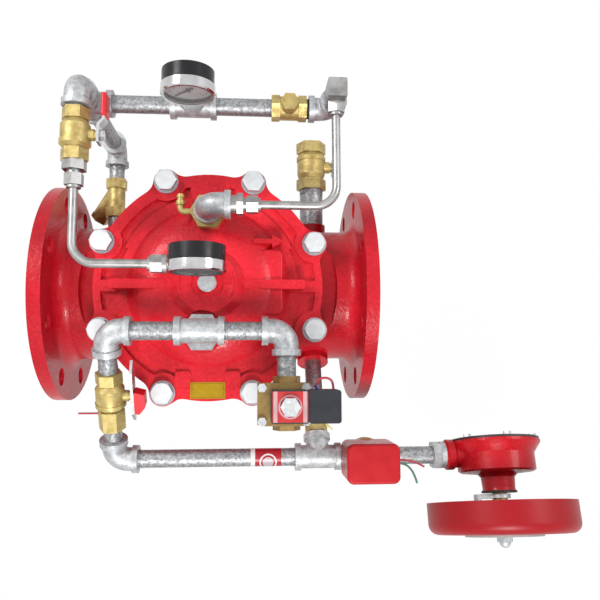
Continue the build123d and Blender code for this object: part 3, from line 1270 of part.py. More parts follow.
MOTOR_CAVITY_R = IMPELLER_OD / 2 + 5
MOTOR_DRAIN_REACH = 66
GONG_FRONT = GONG_RIM + GONG_DEPTH
GONG_PLATE = 3
SLEEVE_END = GONG_RIM + 15


def motor_housing():
    """Round casting with an inlet spigot on the left, a drain boss below and the long shaft neck."""
    drum = turned([
        (0, -MOTOR_BACK), (MOTOR_LID_OD / 2, -MOTOR_BACK), (MOTOR_LID_OD / 2, -MOTOR_BACK + 3),
        (MOTOR_LID_OD / 2 - 3, -MOTOR_BACK + 7), (MOTOR_OD / 2, -MOTOR_BACK + 15),
        (MOTOR_OD / 2, MOTOR_FRONT - 2), (MOTOR_OD / 2 - 3, MOTOR_FRONT),
        (MOTOR_NECK_OD / 2 + 5, MOTOR_FRONT + 2), (MOTOR_NECK_OD / 2 + 1, MOTOR_FRONT + 6),
        (MOTOR_NECK_OD / 2, MOTOR_NECK_END - 5), (MOTOR_NECK_OD / 2 + 1, MOTOR_NECK_END), (0, MOTOR_NECK_END),
    ])
    spigot = turned([
        (0, 0), (MOTOR_NECK_OD / 2, 0), (MOTOR_SPIGOT_OD / 2 - 2.5, MOTOR_OD / 2),
        (MOTOR_SPIGOT_OD / 2 - 2.5, MOTOR_SPIGOT_REACH - 13), (MOTOR_SPIGOT_OD / 2, MOTOR_SPIGOT_REACH - 10),
        (MOTOR_SPIGOT_OD / 2, MOTOR_SPIGOT_REACH - 2), (MOTOR_SPIGOT_OD / 2 - 2, MOTOR_SPIGOT_REACH),
        (0, MOTOR_SPIGOT_REACH),
    ])
    spigot_hole = rod(SOCKET_R, MOTOR_SPIGOT_REACH - SCREW_IN, MOTOR_SPIGOT_REACH)
    spigot_hole += rod(5, MOTOR_CAVITY_R - 4, MOTOR_SPIGOT_REACH)
    drain = rod(17, 0, MOTOR_DRAIN_REACH)
    drain_hole = rod(SOCKET_R, MOTOR_DRAIN_REACH - SCREW_IN, MOTOR_DRAIN_REACH)
    drain_hole += rod(PIPE_BORE / 2, MOTOR_CAVITY_R - 4, MOTOR_DRAIN_REACH)
    to_left = Rot(0, -90, 0)
    to_below = Rot(90, 0, 0)
    solid = drum + to_left * spigot + to_below * drain
    solid -= rod(MOTOR_LID_OD / 2, -MOTOR_BACK - SCREW_IN, -MOTOR_BACK)
    solid -= rod(MOTOR_CAVITY_R, -MOTOR_BACK, MOTOR_FRONT - 6)
    solid -= to_left * spigot_hole + to_below * drain_hole
    solid -= rod(SLEEVE_OD / 2 + RUNNING_FIT, MOTOR_FRONT - 7, MOTOR_NECK_END)
    return on_motor(solid)


def motor_lid():
    """Flat lid with a low boss in the middle and the heads of its screws."""
    low = -MOTOR_BACK
    lid = rod(MOTOR_LID_OD / 2 - 1, low - MOTOR_LID_THICKNESS, low) + rod(AXLE_OD, low - 8, low)
    lid += rod(MOTOR_CAVITY_R - RUNNING_FIT, low, low + 2)
    lid -= rod(AXLE_OD / 2, low - 8, low + 2)
    head = hexagon(8, low - MOTOR_LID_THICKNESS - 4, low - MOTOR_LID_THICKNESS)
    for index in range(MOTOR_LID_BOLTS):
        turn = Rot(0, 0, 360 / MOTOR_LID_BOLTS * (index + 0.5))
        lid += turn * Pos(MOTOR_LID_OD / 2 - 8, 0, 0) * head
    return on_motor(lid)


def impeller():
    """Bladed wheel on the long sleeve that turns round the fixed axle."""
    back = -MOTOR_BACK + 4
    front = MOTOR_FRONT - 9
    wheel = rod(IMPELLER_OD / 2, back, back + 3) + rod(SLEEVE_OD / 2, back, SLEEVE_END)
    blade = Pos(IMPELLER_OD / 4 + 3, 0, 0) * Rot(0, 0, 20) * block(IMPELLER_OD / 2 - 10, 2, back + 2, front)
    for index in range(IMPELLER_BLADES):
        wheel += Rot(0, 0, 360 / IMPELLER_BLADES * index) * blade
    return on_motor(wheel - rod(AXLE_OD / 2 + RUNNING_FIT, back, SLEEVE_END))


def gong_axle():
    """Fixed axle from the lid to the gong, and the cap nut that holds the gong."""
    low = -MOTOR_BACK - 8
    seat = GONG_FRONT - GONG_WALL
    nut_low = GONG_FRONT + GONG_PLATE
    axle = rod(AXLE_OD / 2, low, nut_low + 5) + rod(AXLE_OD / 2 + 3, SLEEVE_END + 1, seat)
    nut = hexagon(17, nut_low, nut_low + 6) + Pos(0, 0, nut_low + 6) * Sphere(7)
    nut = nut - rod(20, nut_low - 20, nut_low) - rod(AXLE_OD / 2 + RUNNING_FIT, nut_low, nut_low + 5 + SEAT_GAP)
    return [on_motor(axle), on_motor(nut)]


def striker():
    """Cranked arm on the sleeve, with the hammer that hits the inside of the gong."""
    low = MOTOR_NECK_END + 2
    step = GONG_RIM + 10
    bore = rod(SLEEVE_OD / 2 + RUNNING_FIT, low - 1, step)
    arm = rod(SLEEVE_OD / 2 + 4, low, low + 5) + Pos(-17, 0, 0) * block(26, 14, low, low + 5)
    arm += Pos(-28, 0, 0) * block(5, 14, low, step)
    arm += Pos(-28 - (STRIKER_REACH - 28) / 2, 0, 0) * block(STRIKER_REACH - 23, 10, step - 5, step)
    hammer = Pos(-STRIKER_REACH, 0, 0) * rod(HAMMER_OD / 2, step - 8, step + 10)
    return on_motor(arm + hammer - bore)


def gong():
    """Pressed bell with a rounded corner, a stiffened rim and a round plate under the nut."""
    outer = GONG_OD / 2
    corner = GONG_CORNER
    wall = GONG_WALL
    with BuildSketch(Plane.XZ) as half:
        with BuildLine():
            Polyline((outer - wall, GONG_RIM), (outer, GONG_RIM), (outer, GONG_FRONT - corner))
            RadiusArc((outer, GONG_FRONT - corner), (outer - corner, GONG_FRONT), -corner)
            Polyline(
                (outer - corner, GONG_FRONT), (GONG_OD * 0.26, GONG_FRONT),
                (GONG_OD * 0.26, GONG_FRONT + GONG_PLATE), (AXLE_OD / 2 + RUNNING_FIT, GONG_FRONT + GONG_PLATE),
                (AXLE_OD / 2 + RUNNING_FIT, GONG_FRONT - wall), (outer - corner, GONG_FRONT - wall),
            )
            RadiusArc((outer - corner, GONG_FRONT - wall), (outer - wall, GONG_FRONT - corner), corner - wall)
            Line((outer - wall, GONG_FRONT - corner), (outer - wall, GONG_RIM))
        make_face()
    return on_motor(revolve(half.sketch, Axis.Z))


# Short leads; each route is a list of points from its exit

SWITCH_EXIT = SWITCH_CENTRE + Vector(SWITCH_BOX[0] / 2 + 5, -3, 30)
GREEN_LEAD = [(0, -2, 0), (9, -2, 0), (20, -13, -2), (24, -26, -4)]
RED_LEAD = [(0, 2, 0), (9, 2, 0), (22, -1, -2), (33, -7, -4)]
COIL_EXIT = SOLENOID_CENTRE + Vector(COIL_WIDTH / 2 + 8, CONNECTOR_SIZE[1] / 2, COIL_TOP - 12)
COIL_LEAD = [(0, 0, 0), (0, 7, 0), (4.5, 12, 1), (13.5, 12, 1), (18, 7, 0), (18, 0, 0)]
SHORT_RUN = 0.45


def lead(exit_place, route, name):
    """Round lead: straight runs joined by the largest arcs that the runs allow."""
    points = [exit_place + Vector(*point) for point in route]
    radii = []
    for before, corner, after in zip(points, points[1:], points[2:]):
        first, second = corner - before, after - corner
        shorter = min(first.length, second.length)
        radii.append(SHORT_RUN * shorter / tan(radians(first.get_angle(second)) / 2))
    path = FilletPolyline(*points, radius=radii)
    solid = sweep(Plane(origin=path @ 0, z_dir=path % 0) * Circle(LEAD_OD / 2), path=path)
    print(name, "length", round(path.length, 1), "radii", [round(radius, 1) for radius in radii])
    return solid


def build_all():
    valves = ball_valves()
    parts = {
        "valve_body": valve_body(),
        "seat_ring": seat_ring(),
        "cover": cover(),
        "cover_bolts": cover_bolts(),
        "cover_plug": cover_plug(),
        "stem_bush": stem_bush(),
        "nameplate": nameplate(),
        "diaphragm": diaphragm(),
        "diaphragm_plates": diaphragm_plates(),
        "disc_seal": disc_seal(),
        "main_stem": main_stem(),
        "closing_spring": closing_spring(),
        "pipe_elbows": pipe_elbows(),
        "pipe_tees": pipe_tees(),
        "pipe_nipples": pipe_nipples(),
        "galvanised_pipes": galvanised_pipes(),
        "galvanised_couplings": galvanised_couplings(),
        "brass_adapters": brass_adapters(),
        "brass_caps": brass_caps(),
        "strainer_body": strainer_body(),
        "strainer_screen": strainer_screen(),
        "ball_seats": [seat for valve in valves.values() for seat in valve.seats()],
        "supply_lever": valves["supply"].lever(LEVER_WIDTH, LEVER_LENGTH, -1),
        "release_handle": valves["release"].handle(),
        "drain_lever": valves["drain"].lever(DRAIN_LEVER_WIDTH, DRAIN_LEVER_LENGTH, -1),
        "steel_tubes": steel_tubes(),
        "tube_fittings": tube_fittings(),
        "check_valve_body": check_valve_body(),
        "gauge_cases": on_both_gauges(gauge_case()),
        "gauge_bezels": on_both_gauges(gauge_bezel()),
        "gauge_dials": on_both_gauges(gauge_dial()),
        "gauge_windows": on_both_gauges(gauge_window()),
        "gauge_stems": on_both_gauges(gauge_stem()),
        "cover_gauge_needle": on_both_gauges(gauge_needle())[0],
        "line_gauge_needle": on_both_gauges(gauge_needle())[1],
        "check_flap": check_flap(),
        "solenoid_body": solenoid_body(),
        "solenoid_bonnet": solenoid_bonnet(),
        "solenoid_fasteners": solenoid_fasteners(),
        "solenoid_plunger": solenoid_plunger(),
        "solenoid_coil": solenoid_coil(),
        "connector_box": connector_box(),
        "switch_base": switch_base(),
        "switch_plunger": switch_plunger(),
        "switch_cover": switch_cover(),
        "motor_housing": motor_housing(),
        "motor_lid": motor_lid(),
        "impeller": impeller(),
        "gong_axle": gong_axle(),
        "striker": striker(),
        "gong": gong(),
        "green_lead": lead(SWITCH_EXIT, GREEN_LEAD, "green lead"),
        "red_lead": lead(SWITCH_EXIT, RED_LEAD, "red lead"),
        "coil_lead": lead(COIL_EXIT, COIL_LEAD, "coil lead"),
    }
    for name, valve in valves.items():
        parts[name + "_valve_body"] = valve.body()
        parts[name + "_ball"] = valve.ball()
    return parts


def main():
    os.makedirs("parts", exist_ok=True)
    for name, shape in build_all().items():
        pieces = shape if isinstance(shape, list) else [shape]
        solids = [solid for piece in pieces for solid in piece.solids()]
        whole = solids[0] if len(solids) == 1 else Compound(children=solids)
        export_step(whole, f"parts/{name}.step")


main()
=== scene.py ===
# %% [markdown]
# A deluge valve keeps an open sprinkler system dry until an alarm opens it. Round its cast body runs the
# trim: small pipes, three ball valves, two gauges, a solenoid valve, a pressure switch and a bell that
# water drives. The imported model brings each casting, pipe and fitting in its true place. This file adds
# what a CAD model doesn't hold: paint, zinc and brass, the marks on the dials, screw threads, leads, light
# and camera.

import json
from math import cos, pi, radians, sin

import bmesh
import bpy
from mathutils import Matrix, Vector


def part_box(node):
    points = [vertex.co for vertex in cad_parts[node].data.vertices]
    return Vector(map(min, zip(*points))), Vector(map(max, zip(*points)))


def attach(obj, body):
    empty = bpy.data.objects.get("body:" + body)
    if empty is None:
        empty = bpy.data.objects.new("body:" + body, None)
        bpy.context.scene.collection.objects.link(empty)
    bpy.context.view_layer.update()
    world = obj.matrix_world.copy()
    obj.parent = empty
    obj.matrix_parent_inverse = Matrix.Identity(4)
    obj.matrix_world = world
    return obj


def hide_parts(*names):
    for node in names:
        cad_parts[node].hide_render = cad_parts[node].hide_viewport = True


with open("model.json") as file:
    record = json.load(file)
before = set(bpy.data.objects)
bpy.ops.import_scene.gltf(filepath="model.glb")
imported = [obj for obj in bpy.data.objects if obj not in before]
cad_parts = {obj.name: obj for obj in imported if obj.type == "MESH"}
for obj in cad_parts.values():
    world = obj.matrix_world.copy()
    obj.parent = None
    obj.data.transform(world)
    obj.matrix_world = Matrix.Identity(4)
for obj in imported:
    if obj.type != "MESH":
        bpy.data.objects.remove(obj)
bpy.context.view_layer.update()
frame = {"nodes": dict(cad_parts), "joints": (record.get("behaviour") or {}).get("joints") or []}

MM = 0.001
FIXED = "valve"
nodes = frame["nodes"]

# %% [markdown]
# Places could be typed in again here, but they would go wrong as soon as the model changes. So they are
# read from the frame where it has them: a joint gives the axis of a gauge, a handle or the water motor,
# and the box round a node gives its edges. X is the flow, Y goes up in the photo and Z comes towards the
# camera.

# %% Places in the frame
X, Y, Z = range(3)
RIGHT, LEFT = Vector((1, 0, 0)), Vector((-1, 0, 0))
BACK, FRONT = Vector((0, 1, 0)), Vector((0, -1, 0))
UP, DOWN = Vector((0, 0, 1)), Vector((0, 0, -1))
joints = {joint["name"]: joint for joint in frame["joints"]}


def pivot(joint):
    """A point on the axis of a joint."""
    return Vector(joints[joint]["pos_m"])


def middle(node):
    """Centre of the box round a node."""
    low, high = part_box(node)
    return (low + high) / 2


def span(node):
    """Size of the box round a node."""
    low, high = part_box(node)
    return high - low


def top(node):
    """How high a node reaches towards the camera."""
    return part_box(node)[1].z


MOTOR_CENTRE = pivot("impeller_spin")
MOTOR_WAY = Vector(joints["impeller_spin"]["axis"])
print("water motor at", MOTOR_CENTRE, "facing", MOTOR_WAY)

# %% [markdown]
# The photo shows the valve lying with its flow to the right, seen from almost straight above. Such a camera
# could be placed by eye. This one's place, tilt and lens come from matching the flanges, the pipes and the
# gong with where the photo shows them, so that near pieces look as much larger than far ones as there.

# %% Camera
camera = bpy.data.objects.new("camera", bpy.data.cameras.new("camera"))
bpy.context.collection.objects.link(camera)
camera.location = (0.2605, -0.096, 0.889)
camera.rotation_euler = (radians(5.74), radians(-4.26), radians(-0.17))
camera.data.lens = 38.52
camera.data.sensor_width = 36
bpy.context.scene.camera = camera
print("camera at", tuple(camera.location), "lens", camera.data.lens, "mm")

# %% [markdown]
# A finish is a small tree of nodes, and so is a pattern of repeated shapes. Each node could be added and
# linked by hand, but a dozen such lines hide one plain sum. So a socket is wrapped in a class whose
# operators add Math nodes: an expression such as 1 - mask then reads as the sum that it is.


# %% A socket for expressions
class Socket:
    """An output of a node tree that works in a Python expression."""

    def __init__(self, tree, output):
        self.tree = tree
        self.output = output

    def math(self, operation, first, second):
        node = self.tree.nodes.new("ShaderNodeMath")
        node.operation = operation
        for place, value in zip(node.inputs, (first, second)):
            if isinstance(value, Socket):
                self.tree.links.new(value.output, place)
            else:
                place.default_value = value
        return Socket(self.tree, node.outputs[0])

    def __add__(self, other):
        return self.math("ADD", self, other)

    def __radd__(self, other):
        return self.math("ADD", other, self)

    def __sub__(self, other):
        return self.math("SUBTRACT", self, other)

    def __rsub__(self, other):
        return self.math("SUBTRACT", other, self)

    def __mul__(self, other):
        return self.math("MULTIPLY", self, other)

    def __rmul__(self, other):
        return self.math("MULTIPLY", other, self)

    def __truediv__(self, other):
        return self.math("DIVIDE", self, other)

    def __rtruediv__(self, other):
        return self.math("DIVIDE", other, self)

    def __pow__(self, other):
        return self.math("POWER", self, other)

    def __rpow__(self, other):
        return self.math("POWER", other, self)

    def __abs__(self):
        return self.math("ABSOLUTE", self, 0.0)

    def above(self, edge):
        """1 where the value is above an edge, else 0."""
        return self.math("GREATER_THAN", self, edge)

    def below(self, edge):
        """1 where the value is below an edge, else 0."""
        return self.math("LESS_THAN", self, edge)


print("a socket adds, subtracts, multiplies, divides and compares")

# %% [markdown]
# Noise, mixes and geometry aren't sums, so they come from one method that adds any node. It takes the
# inputs by their names, with an underscore for each space. Some nodes have several inputs of one name, and
# there an underscore and a number count them: on a Mix node 0 is the factor, and 6 and 7 are the two
# colours.


# %% Any other node
class Nodes:
    """A node tree with one method that adds any node."""

    def __init__(self, tree):
        self.tree = tree

    def node(self, kind, settings=(), output=0, **inputs):
        """Adds a node: its settings first, then the values or links of its sockets."""
        node = self.tree.nodes.new(kind)
        for key, value in dict(settings).items():
            setattr(node, key, value)
        for key, value in inputs.items():
            place = node.inputs[int(key[1:])] if key[0] == "_" else node.inputs[key.replace("_", " ")]
            if isinstance(value, Socket):
                self.tree.links.new(value.output, place)
            else:
                place.default_value = value
        return Socket(self.tree, node.outputs[output])


print("one method adds any other node")

# %% [markdown]
# Nearly each surface here takes the same few steps: find the place on the piece, make soft noise there, mix
# two colours with it and raise a bump. These steps are the methods of a finish. The place is in Object
# coordinates, which are metres in the shared frame, so a pattern has its real size and stays on its piece.


# %% A finish
class Finish(Nodes):
    """A material with its Principled shader."""

    def __init__(self, name, **shader_values):
        self.material = bpy.data.materials.new(name)
        self.material.use_nodes = True
        super().__init__(self.material.node_tree)
        self.shader = self.tree.nodes["Principled BSDF"]
        for socket_name, value in shader_values.items():
            self.shader.inputs[socket_name.replace("_", " ")].default_value = value

    def feed(self, **sockets):
        """Links what changes over the surface to the shader."""
        for key, value in sockets.items():
            self.tree.links.new(value.output, self.shader.inputs[key.replace("_", " ")])

    def place(self):
        return self.node("ShaderNodeTexCoord", output="Object")

    def along(self, axis):
        """One coordinate of the place: X, Y or Z."""
        return self.node("ShaderNodeSeparateXYZ", output=axis, Vector=self.place())

    def reach(self, start, way):
        """How far the place lies from a start, measured along a way."""
        offset = self.node("ShaderNodeVectorMath", {"operation": "SUBTRACT"}, _0=self.place(), _1=start)
        return self.node("ShaderNodeVectorMath", {"operation": "DOT_PRODUCT"}, "Value", _0=offset, _1=way)

    def noise(self, size, detail=3.0, rough=0.5):
        """Soft noise whose lumps are about a size in metres."""
        return self.node(
            "ShaderNodeTexNoise", Vector=self.place(), Scale=1 / size, Detail=detail, Roughness=rough,
        )

    def level(self, value, low, high, to_low=0.0, to_high=1.0):
        """Moves a range of values to another range, and stops at its ends."""
        return self.node(
            "ShaderNodeMapRange", Value=value, From_Min=low, From_Max=high, To_Min=to_low, To_Max=to_high,
        )

    def mix(self, mask, first, second):
        """Colour that goes from the first to the second with a mask."""
        return self.node("ShaderNodeMix", {"data_type": "RGBA"}, 2, _0=mask, _6=first, _7=second)

    def bump(self, height, distance, strength):
        return self.node("ShaderNodeBump", Height=height, Distance=distance, Strength=strength)


def rgb(red, green, blue):
    return (red, green, blue, 1.0)


def tell(kind, *materials):
    print(kind + ":", ", ".join(material.name for material in materials))


print("a finish has a place, noise, levels, mixes and bumps")

# %% [markdown]
# Body, cover and motor are iron castings dipped in red enamel. A plain glossy red would make them plastic:
# a casting's skin keeps soft lumps from the sand of its mould, and the coat hides them only in part. So
# one noise gives the lumps, as a bump and a slight change of gloss, and a wide second one lets the red
# drift as on a coat of uneven thickness. The cover gets a lighter copy of the body's red. That is painted
# light which brightens its dome, because the lamps light the dome less than the body. The switch's cover is
# smooth sheet metal, so its lumps are wide and faint.


# %% Red enamel
def red_enamel(name, deep, bright, lump, height):
    finish = Finish(name, Roughness=0.3, Coat_Weight=0.12, Coat_Roughness=0.05, Specular_IOR_Level=0.2)
    cloud = finish.noise(50 * MM, detail=2)
    lumps = finish.noise(lump, detail=2, rough=0.45)
    shade = finish.level(cloud * 0.6 + lumps * 0.4, 0.35, 0.65)
    finish.feed(
        Base_Color=finish.mix(shade, deep, bright),
        Roughness=finish.level(lumps, 0.3, 0.7, 0.28, 0.42),
        Normal=finish.bump(lumps, height, 0.7),
    )
    return finish.material


SAND = 4 * MM
ROUGH_SKIN, FINE_SKIN = 0.8 * MM, 0.35 * MM
body_red = red_enamel("body_red", rgb(0.44, 0.006, 0.014), rgb(0.62, 0.013, 0.027), SAND, ROUGH_SKIN)
# The cover's red is lighter than the body's only as painted light on its dome; the real paint is one red.
cover_red = red_enamel("cover_red", rgb(0.56, 0.011, 0.021), rgb(0.79, 0.022, 0.038), SAND, ROUGH_SKIN)
motor_red = red_enamel("motor_red", rgb(0.43, 0.005, 0.011), rgb(0.58, 0.01, 0.02), SAND, FINE_SKIN)
box_red = red_enamel("box_red", rgb(0.44, 0.008, 0.014), rgb(0.52, 0.012, 0.018), 12 * MM, 0.04 * MM)
tell("red enamel", body_red, cover_red, motor_red, box_red)

# %% [markdown]
# Elbows, tees and pipes are galvanised: dipped in molten zinc, which sets as a grey coat of light and dark
# crystals. A picture of zinc could be wrapped round them, but it would show seams. Noise with much fine
# detail has none, and its patches keep one size on each fitting. The drawn pipes are darker and shinier
# than the cast fittings, the bolts are plated smooth, and the plates inside the valve are plain dark iron.


# %% Galvanised iron
def zinc_coat(name, dark, light, grain, metal=0.6, patch=7 * MM):
    finish = Finish(name, Metallic=metal, Roughness=0.42)
    patches = finish.noise(patch, detail=4, rough=0.65)
    specks = finish.noise(1.3 * MM, detail=3, rough=0.7)
    tone = finish.level(patches * 0.65 + specks * 0.35, 0.4, 0.6)
    finish.feed(
        Base_Color=finish.mix(tone, dark, light),
        Roughness=finish.level(patches, 0.3, 0.7, 0.55, 0.42),
        Normal=finish.bump(patches + specks * 0.3, grain, 0.5),
    )
    return finish.material


galvanised = zinc_coat(
    "galvanised", rgb(0.32, 0.33, 0.34), rgb(0.56, 0.57, 0.58), grain=0.2 * MM, metal=0.5,
)
pipe_zinc = zinc_coat(
    "pipe_zinc", rgb(0.17, 0.17, 0.18), rgb(0.44, 0.45, 0.46), grain=0.12 * MM, metal=0.75, patch=3.5 * MM,
)
bolt_zinc = zinc_coat(
    "bolt_zinc", rgb(0.4, 0.41, 0.43), rgb(0.6, 0.62, 0.63), grain=0.05 * MM, metal=0.5, patch=4 * MM,
)
cast_iron = zinc_coat("cast_iron", rgb(0.1, 0.1, 0.1), rgb(0.2, 0.2, 0.2), grain=0.2 * MM)
tell("zinc and iron", galvanised, pipe_zinc, bolt_zinc, cast_iron)

# %% [markdown]
# The ball valves, the check valve and the adapters are forged brass, and the solenoid's body is cast
# bronze. Both are yellow metals with a satin skin and faint darker clouds where fingers and air have
# dulled them, so one function makes both. Bronze gets a browner pair of colours, a coarser grain and
# duller clouds.


# %% Brass and bronze
def yellow_metal(name, dull, clean, dullest, grain):
    finish = Finish(name, Metallic=0.55, Roughness=0.45)
    clouds = finish.noise(9 * MM, detail=4, rough=0.6)
    skin = finish.noise(0.9 * MM, detail=2)
    finish.feed(
        Base_Color=finish.mix(finish.level(clouds, 0.35, 0.62), dull, clean),
        Roughness=finish.level(clouds, 0.35, 0.65, dullest, 0.4),
        Normal=finish.bump(skin, grain, 0.5),
    )
    return finish.material


BRASS_PAIR = (rgb(0.37, 0.268, 0.087), rgb(0.54, 0.425, 0.165))
BRONZE_PAIR = (rgb(0.21, 0.13, 0.04), rgb(0.37, 0.245, 0.095))
brass = yellow_metal("brass", *BRASS_PAIR, dullest=0.55, grain=0.06 * MM)
bronze = yellow_metal("bronze", *BRONZE_PAIR, dullest=0.58, grain=0.12 * MM)
tell("yellow metals", brass, bronze)

# %% [markdown]
# The thin tubes and their nuts are stainless steel, drawn and turned, so their polish is even and needs
# only wide, faint clouds. The bezels of the gauges are chromed: the same build with a much smaller
# roughness, which makes it a mirror.


# %% Steel and chrome
def bright_metal(name, dark, light, rough):
    finish = Finish(name, Metallic=1.0, Roughness=rough)
    clouds = finish.noise(14 * MM, detail=2)
    finish.feed(
        Base_Color=finish.mix(finish.level(clouds, 0.35, 0.65), dark, light),
        Roughness=finish.level(clouds, 0.3, 0.7, rough * 0.8, rough * 1.3),
        Normal=finish.bump(clouds, 0.05 * MM, 0.4),
    )
    return finish.material


stainless = bright_metal("stainless", rgb(0.27, 0.265, 0.26), rgb(0.37, 0.365, 0.36), 0.4)
chrome = bright_metal("chrome", rgb(0.5, 0.5, 0.51), rgb(0.62, 0.62, 0.63), 0.12)
tell("bright metals", stainless, chrome)

# %% [markdown]
# Rubber, plastic and the printing ink have no metal in them. One simple build serves them all: a colour, a
# slightly darker cloud of it and a fine moulded grain. A name and one colour per material then say the
# rest.


# %% Rubber, plastic and ink
def moulded(name, base, rough, grain=0.05 * MM, vary=0.12, **shader_values):
    finish = Finish(name, Roughness=rough, **shader_values)
    clouds = finish.noise(12 * MM, detail=3)
    skin = finish.noise(1.2 * MM, detail=2)
    darker = rgb(*(part * (1 - vary) for part in base[:3]))
    finish.feed(
        Base_Color=finish.mix(finish.level(clouds, 0.35, 0.65), darker, base),
        Roughness=finish.level(clouds, 0.3, 0.7, rough * 0.85, rough * 1.2),
        Normal=finish.bump(skin, grain, 0.5),
    )
    return finish.material


rubber = moulded("rubber", rgb(0.02, 0.02, 0.021), 0.7)
seat_plastic = moulded("seat_plastic", rgb(0.8, 0.8, 0.77), 0.5)
gauge_black = moulded("gauge_black", rgb(0.012, 0.012, 0.014), 0.3, Specular_IOR_Level=0.25)
dial_white = moulded("dial_white", rgb(0.41, 0.42, 0.41), 0.45, grain=0.01 * MM, vary=0.08)
needle_black = moulded("needle_black", rgb(0.012, 0.012, 0.012), 0.4)
black_plastic = moulded(
    "black_plastic", rgb(0.018, 0.02, 0.024), 0.45, grain=0.12 * MM, Specular_IOR_Level=0.3,
)
green_plastic = moulded("green_plastic", rgb(0.03, 0.14, 0.09), 0.35)
blue_plastic = moulded("blue_plastic", rgb(0.02, 0.06, 0.3), 0.35)
yellow_plastic = moulded("yellow_plastic", rgb(0.75, 0.65, 0.05), 0.4)
red_plastic = moulded("red_plastic", rgb(0.4, 0.02, 0.04), 0.35)
tell("moulded", rubber, seat_plastic, gauge_black, dial_white, needle_black, black_plastic)
tell("lead colours", green_plastic, blue_plastic, yellow_plastic, red_plastic)

# %% [markdown]
# A gauge's window is a thin clear disc. Real glass bends light twice, which costs many samples for a sheet
# that changes nothing behind it. A shader that is nearly see-through but keeps its gloss looks the same.


# %% Windows of the gauges
def clear_window():
    finish = Finish("window", Roughness=0.05, Base_Color=rgb(0.9, 0.92, 0.92))
    finish.feed(Alpha=finish.level(finish.noise(20 * MM), 0, 1, 0.08, 0.14))
    return finish.material


window = clear_window()
tell("glass", window)

# %% [markdown]
# The levers are plated steel by their stems and dipped in red vinyl beyond. They could be cut into two
# pieces there, but vinyl is only a coat. Comparing one coordinate with an edge gives a mask, and the mask
# picks the finish. The edge is measured from the lever's own joint, so it follows the lever.

# %% Handles
VINYL = rgb(0.66, 0.008, 0.018)


def dipped(name, joint, axis, bare):
    """Plated plate, dipped in red vinyl where it lies farther than its bare length along an axis."""
    finish = Finish(name)
    side = 1 if bare > 0 else -1
    past = ((finish.along(axis) - pivot(joint)[axis]) * side).above(abs(bare))
    clouds = finish.noise(5 * MM)
    steel = finish.mix(clouds, rgb(0.35, 0.35, 0.36), rgb(0.62, 0.63, 0.64))
    finish.feed(
        Base_Color=finish.mix(past, steel, VINYL),
        Metallic=(1 - past) * 0.85,
        Roughness=past * 0.05 + 0.3,
        Normal=finish.bump(clouds, 0.08 * MM, 0.5),
    )
    return finish.material


supply_grip = dipped("supply_grip", "supply_lever_turn", Y, 20 * MM)
drain_grip = dipped("drain_grip", "drain_lever_turn", Y, -20 * MM)
release_grip = dipped("release_grip", "release_handle_turn", X, 27.8 * MM)
tell("handles", supply_grip, drain_grip, release_grip)

# %% [markdown]
# Three more nodes take two colourings. The bonnet's top nut is zinc on bronze, and the gong is red with a
# zinc plate before it. The cover bolts are one plated zinc, but their top faces are painted brighter than
# their flanks: painted light from above on the tops and painted shade on the flanks. Each has an edge along
# one way, so one function makes all three. The gong's way is the motor's axis, which is tilted, and a dot
# product measures along it.


# %% Nodes with two colourings
def two_colourings(name, start, way, edge, near, far, metal):
    """One pair of colours up to an edge along a way from a start, and another past it."""
    finish = Finish(name, Roughness=0.4, Specular_IOR_Level=0.3)
    past = finish.reach(start, way).above(edge)
    clouds = finish.noise(6 * MM)
    first, second = (finish.mix(clouds, *pair) for pair in (near, far))
    finish.feed(
        Base_Color=finish.mix(past, first, second),
        Metallic=finish.level(past, 0, 1, *metal),
        Normal=finish.bump(clouds, 0.08 * MM, 0.4),
    )
    return finish.material


ORIGIN = Vector((0, 0, 0))
ZINC_PAIR = (rgb(0.4, 0.41, 0.4), rgb(0.6, 0.61, 0.58))
# The bolts' flank and top pairs are one plated zinc, in painted shade and in painted light.
SHADED_FLANK_PAIR = (rgb(0.32, 0.33, 0.35), rgb(0.5, 0.51, 0.53))
LIT_TOP_PAIR = (rgb(0.57, 0.59, 0.61), rgb(0.84, 0.86, 0.88))
GONG_PAIR = (rgb(0.29, 0.003, 0.007), rgb(0.36, 0.005, 0.01))
GONG_PLATE = 94.3 * MM
NUT_EDGE = top("solenoid_coil") - 0.5 * MM
# Above this edge the bolt heads take the painted light of their top faces.
LIT_TOP_EDGE = top("cover_bolts") - 1.6 * MM
bonnet = two_colourings("bonnet", ORIGIN, UP, NUT_EDGE, BRONZE_PAIR, ZINC_PAIR, metal=(0.55, 0.6))
bolt_heads = two_colourings("bolt_heads", ORIGIN, UP, LIT_TOP_EDGE, SHADED_FLANK_PAIR, LIT_TOP_PAIR, metal=(0.6, 0.45))
gong_and_plate = two_colourings(
    "gong", MOTOR_CENTRE, MOTOR_WAY, GONG_PLATE, GONG_PAIR, ZINC_PAIR, metal=(0.0, 0.6),
)
tell("two metals", bonnet, bolt_heads, gong_and_plate)

# %% [markdown]
# The solenoid's coil is a black block with a red plate on top. The plate has a pale strip along both sides
# and a pale ring round the nut. All of it is flat, so it could be thin solids, but masks are simpler: each
# compares a distance from the coil's centre with a size. Two masks multiplied are where both hold, and two
# added are where either does.

# %% Plate on the coil
PLATE_MARGIN, PLATE_DEPTH = 1.4 * MM, 0.6 * MM
STRIP_OUTSIDE, STRIP_INSIDE = 1 * MM, 5 * MM
COIL_RING = (10.6 * MM, 12.2 * MM)


